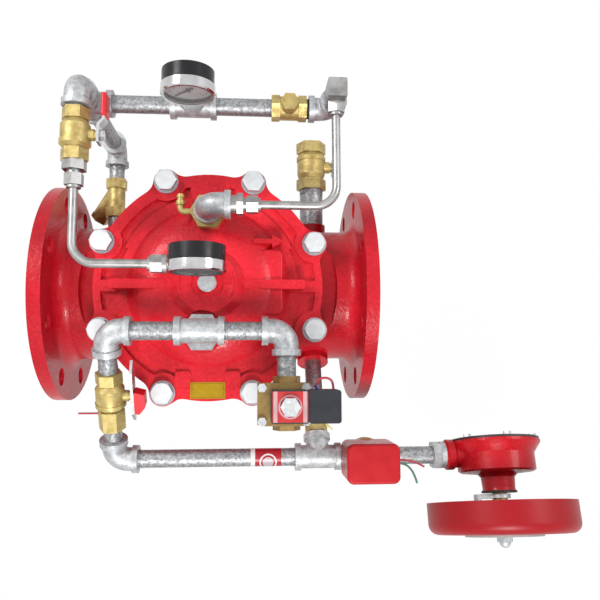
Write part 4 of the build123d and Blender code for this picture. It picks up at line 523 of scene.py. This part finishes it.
def coil_finish():
    finish = Finish("coil_label", Roughness=0.3)
    centre, size = middle("solenoid_coil"), span("solenoid_coil")
    half_x, half_y = size.x / 2 - PLATE_MARGIN, size.y / 2 - PLATE_MARGIN
    across, deep = abs(finish.along(X) - centre.x), abs(finish.along(Y) - centre.y)
    high = finish.along(Z).above(top("solenoid_coil") - PLATE_DEPTH)
    on_plate = across.below(half_x) * deep.below(half_y) * high
    around = (across ** 2 + deep ** 2) ** 0.5
    ring = around.above(COIL_RING[0]) * around.below(COIL_RING[1])
    strips = across.above(half_x - STRIP_INSIDE) * across.below(half_x - STRIP_OUTSIDE)
    red = finish.mix(finish.noise(10 * MM), rgb(0.44, 0.012, 0.016), rgb(0.52, 0.04, 0.04))
    plate = finish.mix(strips + ring, red, rgb(0.54, 0.32, 0.33))
    finish.feed(Base_Color=finish.mix(on_plate, rgb(0.02, 0.018, 0.02), plate))
    return finish.material


coil_label = coil_finish()
tell("coil", coil_label)

# %% [markdown]
# The lid of the water motor is painted black, and the heads of its screws are bare zinc. The screws are
# part of the lid's node, but they are all that stands out behind its face. So the distance behind the
# motor's centre, along its tilted axis, tells them apart.

# %% Lid of the motor
LID_FACE = 18.05 * MM


def lid_finish():
    finish = Finish("motor_lid")
    screws = finish.reach(MOTOR_CENTRE, MOTOR_WAY * -1).above(LID_FACE)
    zinc = finish.mix(finish.noise(5 * MM), rgb(0.45, 0.46, 0.48), rgb(0.72, 0.73, 0.75))
    finish.feed(Base_Color=finish.mix(screws, rgb(0.03, 0.012, 0.014), zinc), Metallic=screws * 0.8)
    return finish.material


motor_lid = lid_finish()
tell("lid", motor_lid)

# %% [markdown]
# A red band is wrapped round the alarm pipe. It has a pale strip at its left end and a pale ring with a
# pale dot in it, which are masks again. The ring's centre lies on the side of the pipe that the camera
# sees.

# %% Band on the alarm pipe
BAND_START = Vector((0.2595, MOTOR_CENTRE.y, MOTOR_CENTRE.z))
BAND_LENGTH = 37 * MM
BAND_STRIP = 5.3 * MM
RING_CENTRE = BAND_START + Vector((21, -5.05, 0)) * MM
BAND_RING = (8.8 * MM, 10.5 * MM)
BAND_DOT = 6.5 * MM


def band_finish():
    finish = Finish("band", Roughness=0.35)
    x, y = finish.along(X), finish.along(Y)
    around = ((x - RING_CENTRE.x) ** 2 + (y - RING_CENTRE.y) ** 2) ** 0.5
    ring = around.above(BAND_RING[0]) * around.below(BAND_RING[1])
    pale = x.below(BAND_START.x + BAND_STRIP) + ring
    red = finish.mix(finish.noise(6 * MM), rgb(0.3, 0.008, 0.014), rgb(0.4, 0.012, 0.02))
    dotted = finish.mix(around.below(BAND_DOT), red, rgb(0.45, 0.4, 0.41))
    finish.feed(Base_Color=finish.mix(pale, dotted, rgb(0.72, 0.68, 0.68)))
    return finish.material


band = band_finish()
tell("band", band)

# %% [markdown]
# The nameplate on the cover is a plain yellow plate with a thin dark line near its edge. The line is what
# is left of a larger rectangle when a smaller one is taken away, so two products of masks and one minus
# draw it.

# %% Nameplate
LINE_FROM_END, LINE_FROM_SIDE, LINE_WIDTH = 1.6 * MM, 1 * MM, 1 * MM


def plate_finish():
    finish = Finish("nameplate", Roughness=0.4, Specular_IOR_Level=0.25)
    centre, size = middle("nameplate"), span("nameplate")
    half_x, half_y = size.x / 2 - LINE_FROM_END, size.y / 2 - LINE_FROM_SIDE
    across, deep = abs(finish.along(X) - centre.x), abs(finish.along(Y) - centre.y)
    outer = across.below(half_x) * deep.below(half_y)
    inner = across.below(half_x - LINE_WIDTH) * deep.below(half_y - LINE_WIDTH)
    yellow = finish.mix(finish.noise(4 * MM, detail=4), rgb(0.33, 0.19, 0.003), rgb(0.46, 0.3, 0.005))
    finish.feed(Base_Color=finish.mix((outer - inner) * 0.6, yellow, rgb(0.25, 0.1, 0.01)))
    return finish.material


yellow_plate = plate_finish()
tell("nameplate", yellow_plate)

# %% [markdown]
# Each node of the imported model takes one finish. A table of finishes with their nodes shows at a glance
# what is made of what, and one loop puts it on.

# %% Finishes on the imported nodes
finishes = {
    body_red: ["valve_body"],
    cover_red: ["cover"],
    motor_red: ["motor_housing"],
    motor_lid: ["motor_lid"],
    gong_and_plate: ["gong"],
    box_red: ["switch_cover"],
    galvanised: ["pipe_elbows", "pipe_tees", "galvanised_couplings"],
    pipe_zinc: ["pipe_nipples", "galvanised_pipes"],
    bolt_heads: ["cover_bolts"],
    bolt_zinc: ["cover_plug", "solenoid_fasteners", "gong_axle", "striker"],
    cast_iron: ["diaphragm_plates"],
    brass: [
        "brass_adapters", "brass_caps", "strainer_body", "supply_valve_body", "release_valve_body",
        "drain_valve_body", "check_valve_body", "check_flap", "gauge_stems", "switch_base", "impeller",
    ],
    bronze: ["solenoid_body", "seat_ring", "stem_bush"],
    bonnet: ["solenoid_bonnet"],
    stainless: [
        "main_stem", "closing_spring", "strainer_screen", "steel_tubes", "tube_fittings", "solenoid_plunger",
        "switch_plunger",
    ],
    chrome: ["gauge_bezels", "supply_ball", "release_ball", "drain_ball"],
    rubber: ["diaphragm", "disc_seal"],
    seat_plastic: ["ball_seats"],
    supply_grip: ["supply_lever"],
    release_grip: ["release_handle"],
    drain_grip: ["drain_lever"],
    gauge_black: ["gauge_cases"],
    dial_white: ["gauge_dials"],
    window: ["gauge_windows"],
    needle_black: ["cover_gauge_needle", "line_gauge_needle"],
    yellow_plate: ["nameplate"],
    coil_label: ["solenoid_coil"],
    black_plastic: ["connector_box"],
}


def dress(piece, material):
    piece.data.materials.clear()
    piece.data.materials.append(material)


for material, names in finishes.items():
    for name in names:
        dress(nodes[name], material)
print(sum(len(names) for names in finishes.values()), "nodes have a finish")

# %% [markdown]
# A lead could be bent cylinders, but a curve with a round bevel has no joints to hide. So each lead is one
# NURBS spline: its control points pull the line into smooth bends, as stiff wire takes them. The length is
# measured on the bare line, before the bevel gives it a thickness.

# %% A bent line and its length
LEAD_DIAMETER = 2.5 * MM
LINE_STEPS, LINE_ORDER = 12, 3
BEVEL_STEPS = 6


def spline_length(curve_object):
    """Length of a curve's own line, measured on its evaluated points."""
    mesh = bpy.data.meshes.new_from_object(curve_object)
    points = [vertex.co for vertex in mesh.vertices]
    ends = [edge.vertices for edge in mesh.edges]
    length = sum((points[first] - points[second]).length for first, second in ends)
    bpy.data.meshes.remove(mesh)
    return length


def bent_line(name, points):
    """Curve object of one NURBS spline through the pull of its control points."""
    curve = bpy.data.curves.new(name, "CURVE")
    curve.dimensions = "3D"
    curve.resolution_u = LINE_STEPS
    spline = curve.splines.new("NURBS")
    spline.points.add(len(points) - 1)
    for control, place in zip(spline.points, points):
        control.co = (*place, 1)
    spline.order_u = LINE_ORDER
    spline.use_endpoint_u = True
    piece = bpy.data.objects.new(name, curve)
    bpy.context.collection.objects.link(piece)
    bpy.context.view_layer.update()
    return piece


print("leads are", round(LEAD_DIAMETER / MM, 1), "mm thick")

# %% [markdown]
# Two stiff leads leave the pressure switch and end bare, and a short loop joins the solenoid's coil to its
# box. The control points are given in millimetres from where the lead comes out, and each lead stands for
# the plain one in the imported model.


# %% Leads
def lead(name, exit_place, steps, material, slot):
    """A round lead along control points, given in millimetres from its exit."""
    points = [exit_place + Vector(step) * MM for step in steps]
    piece = bent_line(name, points)
    length = spline_length(piece)
    piece.data.bevel_depth = LEAD_DIAMETER / 2
    piece.data.bevel_resolution = BEVEL_STEPS
    piece.data.use_fill_caps = True
    dress(piece, material)
    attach(piece, FIXED)
    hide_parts(slot[0])
    print(name, round(length / MM, 1), "mm long")


SWITCH_EXIT = Vector((0.4340, -0.211447, 0.119845))
COIL_EXIT = Vector((0.327, -0.122, 0.220))
lead(
    "switch_wire_green", SWITCH_EXIT, [(0, -2, 0), (9, -2, 0), (20, -13, -2), (24, -26, -4)],
    green_plastic, ("green_lead", "green_insulation"),
)
lead(
    "switch_wire_red", SWITCH_EXIT, [(0, 2, 0), (9, 2, 0), (22, -1, -2), (33, -7, -4)],
    red_plastic, ("red_lead", "red_insulation"),
)
lead(
    "coil_wire", COIL_EXIT, [(0, 0, 0), (0, 7, 0), (4.5, 12, 1), (13.5, 12, 1), (18, 7, 0), (18, 0, 0)],
    red_plastic, ("coil_lead", "red_insulation"),
)

# %% [markdown]
# Marks on a dial and rings of a screw thread are one shape, repeated. A Python loop could copy the shape,
# but Geometry Nodes repeat it in one step, and its sizes stay named inputs that can be changed. A pattern
# is such a tree. Its inputs are set by each socket's identifier before it runs, and the result is taken as
# a plain mesh, so that nothing is worked out again later.


# %% A pattern
def evaluated_mesh(holder):
    """The mesh that an object has after its modifiers and its text are worked out."""
    holder.update_tag()
    bpy.context.view_layer.update()
    return bpy.data.meshes.new_from_object(holder.evaluated_get(bpy.context.evaluated_depsgraph_get()))


class Pattern(Nodes):
    """A geometry tree with named inputs."""

    def __init__(self, name, **inputs):
        super().__init__(bpy.data.node_groups.new(name, "GeometryNodeTree"))
        interface = self.tree.interface
        interface.new_socket("Geometry", in_out="OUTPUT", socket_type="NodeSocketGeometry")
        for label, kind in inputs.items():
            interface.new_socket(label, in_out="INPUT", socket_type="NodeSocket" + kind)
        self.inputs = self.tree.nodes.new("NodeGroupInput")

    def given(self, label):
        return Socket(self.tree, self.inputs.outputs[label])

    def vector(self, x=0.0, y=0.0, z=0.0):
        return self.node("ShaderNodeCombineXYZ", X=x, Y=y, Z=z)

    def finish(self, shape):
        """Ends the tree: the repeated shapes become real and take the material."""
        real = self.node("GeometryNodeRealizeInstances", Geometry=shape)
        painted = self.node("GeometryNodeSetMaterial", Geometry=real, Material=self.given("Material"))
        self.tree.links.new(painted.output, self.tree.nodes.new("NodeGroupOutput").inputs[0])

    def mesh(self, **values):
        """Runs the tree with its inputs set and returns a plain mesh."""
        holder = bpy.data.objects.new(self.tree.name, bpy.data.meshes.new(self.tree.name))
        bpy.context.collection.objects.link(holder)
        modifier = holder.modifiers.new("pattern", "NODES")
        modifier.node_group = self.tree
        for item in self.tree.interface.items_tree:
            if item.in_out == "INPUT":
                modifier[item.identifier] = values[item.name]
        made = evaluated_mesh(holder)
        holder.modifiers.remove(modifier)
        bpy.data.objects.remove(holder)
        return made


print("a pattern runs once for each place")

# %% [markdown]
# The small shapes of one kind are joined into one piece, because a piece for each mark would be a long
# list to no use. The piece rides on a body of the model, so it moves with it. Normals are worked out
# again at the end, so that all faces point outwards.


# %% Joining meshes into a piece
def add_piece(name, meshes, material):
    """Joins meshes into one piece that rides on the valve's fixed body."""
    joined = bmesh.new()
    for mesh in meshes:
        joined.from_mesh(mesh)
        bpy.data.meshes.remove(mesh)
    bmesh.ops.recalc_face_normals(joined, faces=joined.faces)
    whole = bpy.data.meshes.new(name)
    joined.to_mesh(whole)
    joined.free()
    piece = bpy.data.objects.new(name, whole)
    bpy.context.collection.objects.link(piece)
    dress(piece, material)
    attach(piece, FIXED)
    print(name, len(whole.polygons), "faces")


print("added pieces ride on", FIXED)

# %% [markdown]
# A dial has eleven long marks and fifty short steps on three quarters of a circle. Each mark is a small bar
# that starts on the dial's centre, moves out by the radius and turns by its own share of the sweep: its
# number in the row, divided by the number of gaps, less a half so that the scale is even on both sides.


# %% Marks of a dial
def marks_pattern():
    pattern = Pattern(
        "marks", Count="Int", Radius="Float", Length="Float", Width="Float", Thickness="Float",
        Sweep="Float", Centre="Vector", Material="Material",
    )
    count, sweep = pattern.given("Count"), pattern.given("Sweep")
    places = pattern.node(
        "GeometryNodeMeshLine", Count=count, Offset=(0, 0, 0), Start_Location=pattern.given("Centre"),
    )
    size = pattern.vector(pattern.given("Width"), pattern.given("Thickness"), pattern.given("Length"))
    bar = pattern.node("GeometryNodeMeshCube", Size=size)
    outwards = pattern.vector(z=pattern.given("Radius"))
    mark = pattern.node("GeometryNodeTransform", Geometry=bar, Translation=outwards)
    share = pattern.node("GeometryNodeInputIndex") / (count - 1) - 0.5
    turn = pattern.node("FunctionNodeEulerToRotation", Euler=pattern.vector(y=share * sweep))
    pattern.finish(
        pattern.node("GeometryNodeInstanceOnPoints", Points=places, Instance=mark, Rotation=turn)
    )
    return pattern


DIAL_SWEEP = radians(270)
LONG_MARKS = {"Count": 11, "Radius": 21.8 * MM, "Length": 4.2 * MM, "Width": 0.7 * MM}
SHORT_MARKS = {"Count": 51, "Radius": 22.9 * MM, "Length": 2 * MM, "Width": 0.3 * MM}
MARK_THICKNESS = 0.1 * MM
marks = marks_pattern()
print("a dial has", LONG_MARKS["Count"], "long marks and", SHORT_MARKS["Count"], "short ones")

# %% [markdown]
# Six plain numbers stand inside the marks. A text object is the natural way to write one. It is made a mesh
# first and then turned to face the front and moved to its place, because the place belongs in the mesh. The
# print lies just before the dial, whose own distance from the needle's pivot is known.

# %% Print on the dials
NUMBERS, NUMBER_STEP = 6, 2
NUMBER_RING, NUMBER_SIZE, NUMBER_GAP = 15.5 * MM, 5.8 * MM, 0.05 * MM
TEXT_STEPS = 2
DIAL_FROM_PIVOT = 9 * MM
PRINT_GAP = 0.1 * MM


def number(text, centre):
    """One number as a flat mesh that faces the front."""
    curve = bpy.data.curves.new("number", "FONT")
    curve.body = text
    curve.size = NUMBER_SIZE
    curve.align_x = "CENTER"
    curve.align_y = "CENTER"
    curve.resolution_u = TEXT_STEPS
    holder = bpy.data.objects.new("number", curve)
    bpy.context.collection.objects.link(holder)
    made = evaluated_mesh(holder)
    made.transform(Matrix.Translation(centre) @ Matrix.Rotation(pi / 2, 4, "X"))
    bpy.data.objects.remove(holder)
    return made


print_meshes = []
for joint in ("cover_gauge_turn", "line_gauge_turn"):
    centre = pivot(joint) + FRONT * (DIAL_FROM_PIVOT + PRINT_GAP)
    for sizes in (LONG_MARKS, SHORT_MARKS):
        print_meshes.append(marks.mesh(
            **sizes, Thickness=MARK_THICKNESS, Sweep=DIAL_SWEEP, Centre=centre, Material=needle_black,
        ))
    for index in range(NUMBERS):
        turn = DIAL_SWEEP * (index / (NUMBERS - 1) - 0.5)
        outwards = Vector((sin(turn), 0, cos(turn))) * NUMBER_RING
        print_meshes.append(number(str(index * NUMBER_STEP), centre + outwards + FRONT * NUMBER_GAP))
add_piece("dial_marks", print_meshes, needle_black)

# %% [markdown]
# Where a pipe enters a fitting, the last turns of its thread stay in sight. A true thread is a helix, but
# so few turns look the same as plain rings and need far fewer faces. One ring is a circle swept round a
# circle, and the pattern repeats it by the pitch, then turns the row from Z to the pipe's own way.


# %% Rings of a thread
THREAD_PITCH, THREAD_CREST = 1.81 * MM, 0.42 * MM
RING_STEPS, CREST_STEPS = 40, 6


def thread_pattern():
    pattern = Pattern(
        "thread", Count="Int", Pitch="Float", Radius="Float", Crest="Float", Start="Vector", Turn="Vector",
        Material="Material",
    )
    circle, crest = (
        pattern.node("GeometryNodeCurvePrimitiveCircle", Resolution=steps, Radius=pattern.given(label))
        for steps, label in ((RING_STEPS, "Radius"), (CREST_STEPS, "Crest"))
    )
    ring = pattern.node("GeometryNodeCurveToMesh", Curve=circle, Profile_Curve=crest)
    step = pattern.vector(z=pattern.given("Pitch"))
    places = pattern.node(
        "GeometryNodeMeshLine", Count=pattern.given("Count"), Offset=step, Start_Location=step,
    )
    rings = pattern.node("GeometryNodeInstanceOnPoints", Points=places, Instance=ring)
    turn = pattern.node("FunctionNodeEulerToRotation", Euler=pattern.given("Turn"))
    pattern.finish(pattern.node(
        "GeometryNodeTransform", Geometry=rings, Translation=pattern.given("Start"), Rotation=turn,
    ))
    return pattern


thread = thread_pattern()
print("thread pitch", round(THREAD_PITCH / MM, 2), "mm")

# %% [markdown]
# The threads start at the mouths of elbows and tees, and all these fittings reach equally far from their
# centres. So a centre and a way are enough to say where a thread starts. The centres lie on the axes of the
# pipes: the loop over the cover, the top line, and the alarm line at the height of the water motor. Where a
# thread enters a valve instead, the end of the valve's box gives its start.

# %% Centres of the fittings
FITTING_REACH = 28 * MM
LOOP_TEE = Vector((0.2015, -0.058, 0.16))
TOP_LINE_Z = 0.118
ALARM_TEE_X, SWITCH_END_X = 0.3415, 0.425


def on_alarm_line(x):
    return Vector((x, MOTOR_CENTRE.y, MOTOR_CENTRE.z))


def on_top_line(x):
    return Vector((x, pivot("line_gauge_turn").y, TOP_LINE_Z))


supply_valve, drain_valve = pivot("supply_lever_turn"), pivot("drain_lever_turn")
release_valve = pivot("release_handle_turn")
SOLENOID_CORNER = Vector((middle("solenoid_coil").x, LOOP_TEE.y, LOOP_TEE.z))
RELEASE_CORNER = Vector((release_valve.x, LOOP_TEE.y, LOOP_TEE.z))
RELEASE_WAY = (release_valve - RELEASE_CORNER).normalized()
ALARM_CORNER, ALARM_TEE = on_alarm_line(release_valve.x), on_alarm_line(ALARM_TEE_X)
SUPPLY_TEE = on_top_line(supply_valve.x)
SUPPLY_CORNER = Vector((supply_valve.x, SUPPLY_TEE.y, drain_valve.z))
print("the release line falls along", RELEASE_WAY)

# %% [markdown]
# Each row below is one stretch of thread: where it starts, which way it goes, how many turns are seen and
# how thick the pipe is. The drain line is a one inch pipe, and all the others are half inch.

# %% Threads in sight
PIPE_R, DRAIN_PIPE_R = 10.65 * MM, 16.85 * MM
RELEASE_VALVE_HALF = 30 * MM
solenoid_end = Vector((SOLENOID_CORNER.x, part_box("solenoid_body")[1].y, LOOP_TEE.z))
release_valve_end = release_valve - RELEASE_WAY * RELEASE_VALVE_HALF
drain_valve_end = Vector((drain_valve.x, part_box("drain_valve_body")[0].y, drain_valve.z))
check_valve_start, check_valve_end = (on_top_line(corner.x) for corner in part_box("check_valve_body"))


def mouth(centre, way):
    """The mouth of a fitting: its place and its way."""
    return centre + way * FITTING_REACH, way


thread_rows = [
    (*mouth(SOLENOID_CORNER, FRONT), 3, PIPE_R),
    (solenoid_end, BACK, 5, PIPE_R),
    (*mouth(RELEASE_CORNER, RELEASE_WAY), 3, PIPE_R),
    (release_valve_end, RELEASE_WAY * -1, 4, PIPE_R),
    (*mouth(SUPPLY_CORNER, FRONT), 4, PIPE_R),
    (drain_valve_end, FRONT, 4, DRAIN_PIPE_R),
    (*mouth(LOOP_TEE, LEFT), 2, PIPE_R),
    (*mouth(LOOP_TEE, RIGHT), 2, PIPE_R),
    (*mouth(SUPPLY_TEE, RIGHT), 3, PIPE_R),
    (check_valve_start, LEFT, 3, PIPE_R),
    (*mouth(ALARM_CORNER, RIGHT), 2, PIPE_R),
    (*mouth(ALARM_TEE, LEFT), 3, PIPE_R),
    (on_alarm_line(SWITCH_END_X), RIGHT, 3, PIPE_R),
    (*mouth(SUPPLY_TEE, DOWN), 3, PIPE_R),
]
thread_meshes = [
    thread.mesh(
        Count=count, Pitch=THREAD_PITCH, Radius=radius, Crest=THREAD_CREST, Start=start,
        Turn=Vector(way.to_track_quat("Z", "Y").to_euler()), Material=pipe_zinc,
    )
    for start, way, count, radius in thread_rows
]
add_piece("pipe_threads", thread_meshes, pipe_zinc)

# %% [markdown]
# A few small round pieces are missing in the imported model: a band, a gasket, thread tape, two short wires
# and a pin. Each is a turned shape, so one function makes them: it spins an outline of (radius, height)
# corners round Z and then sets it on its own axis. A sleeve has a wide bore. A rod is a sleeve with a
# hair-thin one, which keeps all of its faces four-sided.

# %% Turned shapes
TURN_STEPS = 48
HAIR_BORE = 0.1 * MM


def turned(outline, start, way, steps=TURN_STEPS):
    """Mesh of a closed outline of (radius, height) corners, spun round an axis and set in place."""
    place = Matrix.Translation(start) @ way.to_track_quat("Z", "Y").to_matrix().to_4x4()
    corners, faces, size = [], [], len(outline)
    for step in range(steps):
        angle = 2 * pi * step / steps
        for radius, height in outline:
            corners.append(place @ Vector((radius * cos(angle), radius * sin(angle), height)))
    for step in range(steps):
        near, far = step * size, (step + 1) % steps * size
        faces += [(near + k, near + (k + 1) % size, far + (k + 1) % size, far + k) for k in range(size)]
    mesh = bpy.data.meshes.new("turned")
    mesh.from_pydata(corners, [], faces)
    return mesh


def sleeve(inner, outer, length):
    return [(inner, 0), (outer, 0), (outer, length), (inner, length)]


def rod(radius, length):
    return sleeve(HAIR_BORE, radius, length)


print("a turned shape has", TURN_STEPS, "steps round, where a piece asks for no other number")

# %% [markdown]
# The band lies a hair above its pipe, because two faces in one place would flicker through each other. The
# gasket is a dark ring on the neck of the water motor, and the tape is one where the top line leaves the
# check valve.

# %% Band, gasket and tape
BAND_GAP, BAND_THICKNESS = 0.03 * MM, 0.14 * MM
GASKET_INSIDE, GASKET_OUTSIDE, GASKET_WIDTH = 20.5 * MM, 21.3 * MM, 2.2 * MM
GASKET_FROM_CENTRE = 44.2 * MM
TAPE_INSIDE, TAPE_OUTSIDE, TAPE_WIDTH = 10.7 * MM, 12 * MM, 2.6 * MM
TAPE_GAP = 0.2 * MM

band_inside = PIPE_R + BAND_GAP
band_sleeve = sleeve(band_inside, band_inside + BAND_THICKNESS, BAND_LENGTH)
add_piece("pipe_band", [turned(band_sleeve, BAND_START, RIGHT)], band)
gasket_sleeve = sleeve(GASKET_INSIDE, GASKET_OUTSIDE, GASKET_WIDTH)
gasket = turned(gasket_sleeve, MOTOR_CENTRE + MOTOR_WAY * GASKET_FROM_CENTRE, MOTOR_WAY)
add_piece("neck_gasket", [gasket], rubber)
tape = turned(sleeve(TAPE_INSIDE, TAPE_OUTSIDE, TAPE_WIDTH), check_valve_end + RIGHT * TAPE_GAP, RIGHT)
add_piece("thread_tape", [tape], rubber)

# %% [markdown]
# Two short wires stick out of the solenoid's connector, and a thin red pin lies on the release valve. They
# are straight and stiff, so a rod on its own axis is all that each needs. Few steps round it are enough for
# a rod that is only two millimetres thick.


# %% Wires and pin
def add_rod(name, start, way, radius, length, steps, material):
    """A straight rod, with its start, radius and length in millimetres."""
    shape = turned(rod(radius * MM, length * MM), Vector(start) * MM, Vector(way).normalized(), steps)
    add_piece(name, [shape], material)


add_rod(
    "spare_wire", start=(330.5, -124.5, 220.5), way=(-0.55, 0.75, 0.35), radius=1.2, length=9.5, steps=16,
    material=blue_plastic,
)
add_rod(
    "earth_wire", start=(336.5, -156.2, 205), way=(0.72, -0.68, -0.1), radius=0.9, length=12.5, steps=12,
    material=yellow_plastic,
)
add_rod(
    "release_pin", start=(59.5, -152, 116.2), way=RIGHT, radius=1.1, length=24.8, steps=16,
    material=red_plastic,
)

# %% [markdown]
# The valve stands on its two flanges, on a white floor with a faint shadow. A bright lamp could whiten a
# floor, but it would bleach the valve too. So the floor mixes a matt grey with a glow of its own. The glow
# counts only for rays from the camera and for those that metal and glass send on, and a small share of the
# matt grey stays in what the camera sees and carries the shadow.

# %% Floor
FLOOR_GAP = 0.2 * MM
FLOOR_HALF = 6.0
FLOOR_GREY = (0.42, 0.42, 0.42, 1)
GLOW_SHARE = 0.97
PLAIN_WHITE = (1, 1, 1, 1)
WHITE_STRENGTH = 1.02


def sees_background(tree):
    """1 for rays from the camera and for those that metal or glass sends on, else 0."""
    straight, gloss, through = (
        tree.node("ShaderNodeLightPath", output=name)
        for name in ("Is Camera Ray", "Is Glossy Ray", "Is Transmission Ray")
    )
    return (straight + gloss + through).above(0.5)


def floor_paint():
    material = bpy.data.materials.new("floor_paint")
    material.use_nodes = True
    material.node_tree.nodes.clear()
    paint = Nodes(material.node_tree)
    matt = paint.node("ShaderNodeBsdfDiffuse", Color=FLOOR_GREY)
    glow = paint.node("ShaderNodeEmission", Color=PLAIN_WHITE, Strength=WHITE_STRENGTH)
    both = paint.node("ShaderNodeMixShader", _0=sees_background(paint) * GLOW_SHARE, _1=matt, _2=glow)
    output = paint.tree.nodes.new("ShaderNodeOutputMaterial")
    paint.tree.links.new(both.output, output.inputs[0])
    return material


floor_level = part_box("valve_body")[0].z - FLOOR_GAP
sides = ((-1, -1), (1, -1), (1, 1), (-1, 1))
corners = [(x * FLOOR_HALF, y * FLOOR_HALF, floor_level) for x, y in sides]
floor_mesh = bpy.data.meshes.new("floor")
floor_mesh.from_pydata(corners, [], [(0, 1, 2, 3)])
floor_mesh.materials.append(floor_paint())
floor = bpy.data.objects.new("floor", floor_mesh)
bpy.context.collection.objects.link(floor)
print("floor at", round(floor_level / MM, 1), "mm")

# %% [markdown]
# Glossy enamel shows its lamps as highlights, so the shape of a lamp matters as much as its power. Square
# soft boxes give broad, soft highlights as in a studio: one from either side, so that both flanks of the
# body are lit, and a third from the lower edge of the photo, which lights the cover and the fittings on
# it.

# %% Soft boxes
LIT_PLACE = Vector((0.3, 0.0, 0.0))


def soft_box(name, place, size, power):
    light = bpy.data.lights.new(name, "AREA")
    light.shape = "SQUARE"
    light.size = size
    light.energy = power
    lamp = bpy.data.objects.new(name, light)
    bpy.context.collection.objects.link(lamp)
    lamp.location = place
    lamp.rotation_euler = (LIT_PLACE - Vector(place)).to_track_quat("-Z", "Y").to_euler()
    print(name, power, "W")


soft_box("left_box", (-0.9, 0.7, 1.3), size=0.6, power=17)
soft_box("right_box", (1.5, 0.4, 1.3), size=0.6, power=9.5)
soft_box("front_box", (0.3, -1.2, 1.5), size=0.5, power=25)

# %% [markdown]
# The world fills the shadows with an even, slightly cool light. The same test as on the floor makes it
# white for the camera, metal and glass, so the floor has no visible end.

# %% World
FILL_COLOUR = (0.92, 0.94, 0.96, 1)
FILL_STRENGTH = 0.33
world = bpy.data.worlds.new("world")
world.use_nodes = True
world.node_tree.nodes.clear()
sky = Nodes(world.node_tree)
fill = sky.node("ShaderNodeBackground", Color=FILL_COLOUR, Strength=FILL_STRENGTH)
white = sky.node("ShaderNodeBackground", Color=PLAIN_WHITE, Strength=WHITE_STRENGTH)
seen = sky.node("ShaderNodeMixShader", _0=sees_background(sky), _1=fill, _2=white)
sky.tree.links.new(seen.output, sky.tree.nodes.new("ShaderNodeOutputWorld").inputs[0])
bpy.context.scene.world = world
bpy.context.scene.view_settings.view_transform = "Standard"
print("world light", FILL_STRENGTH)
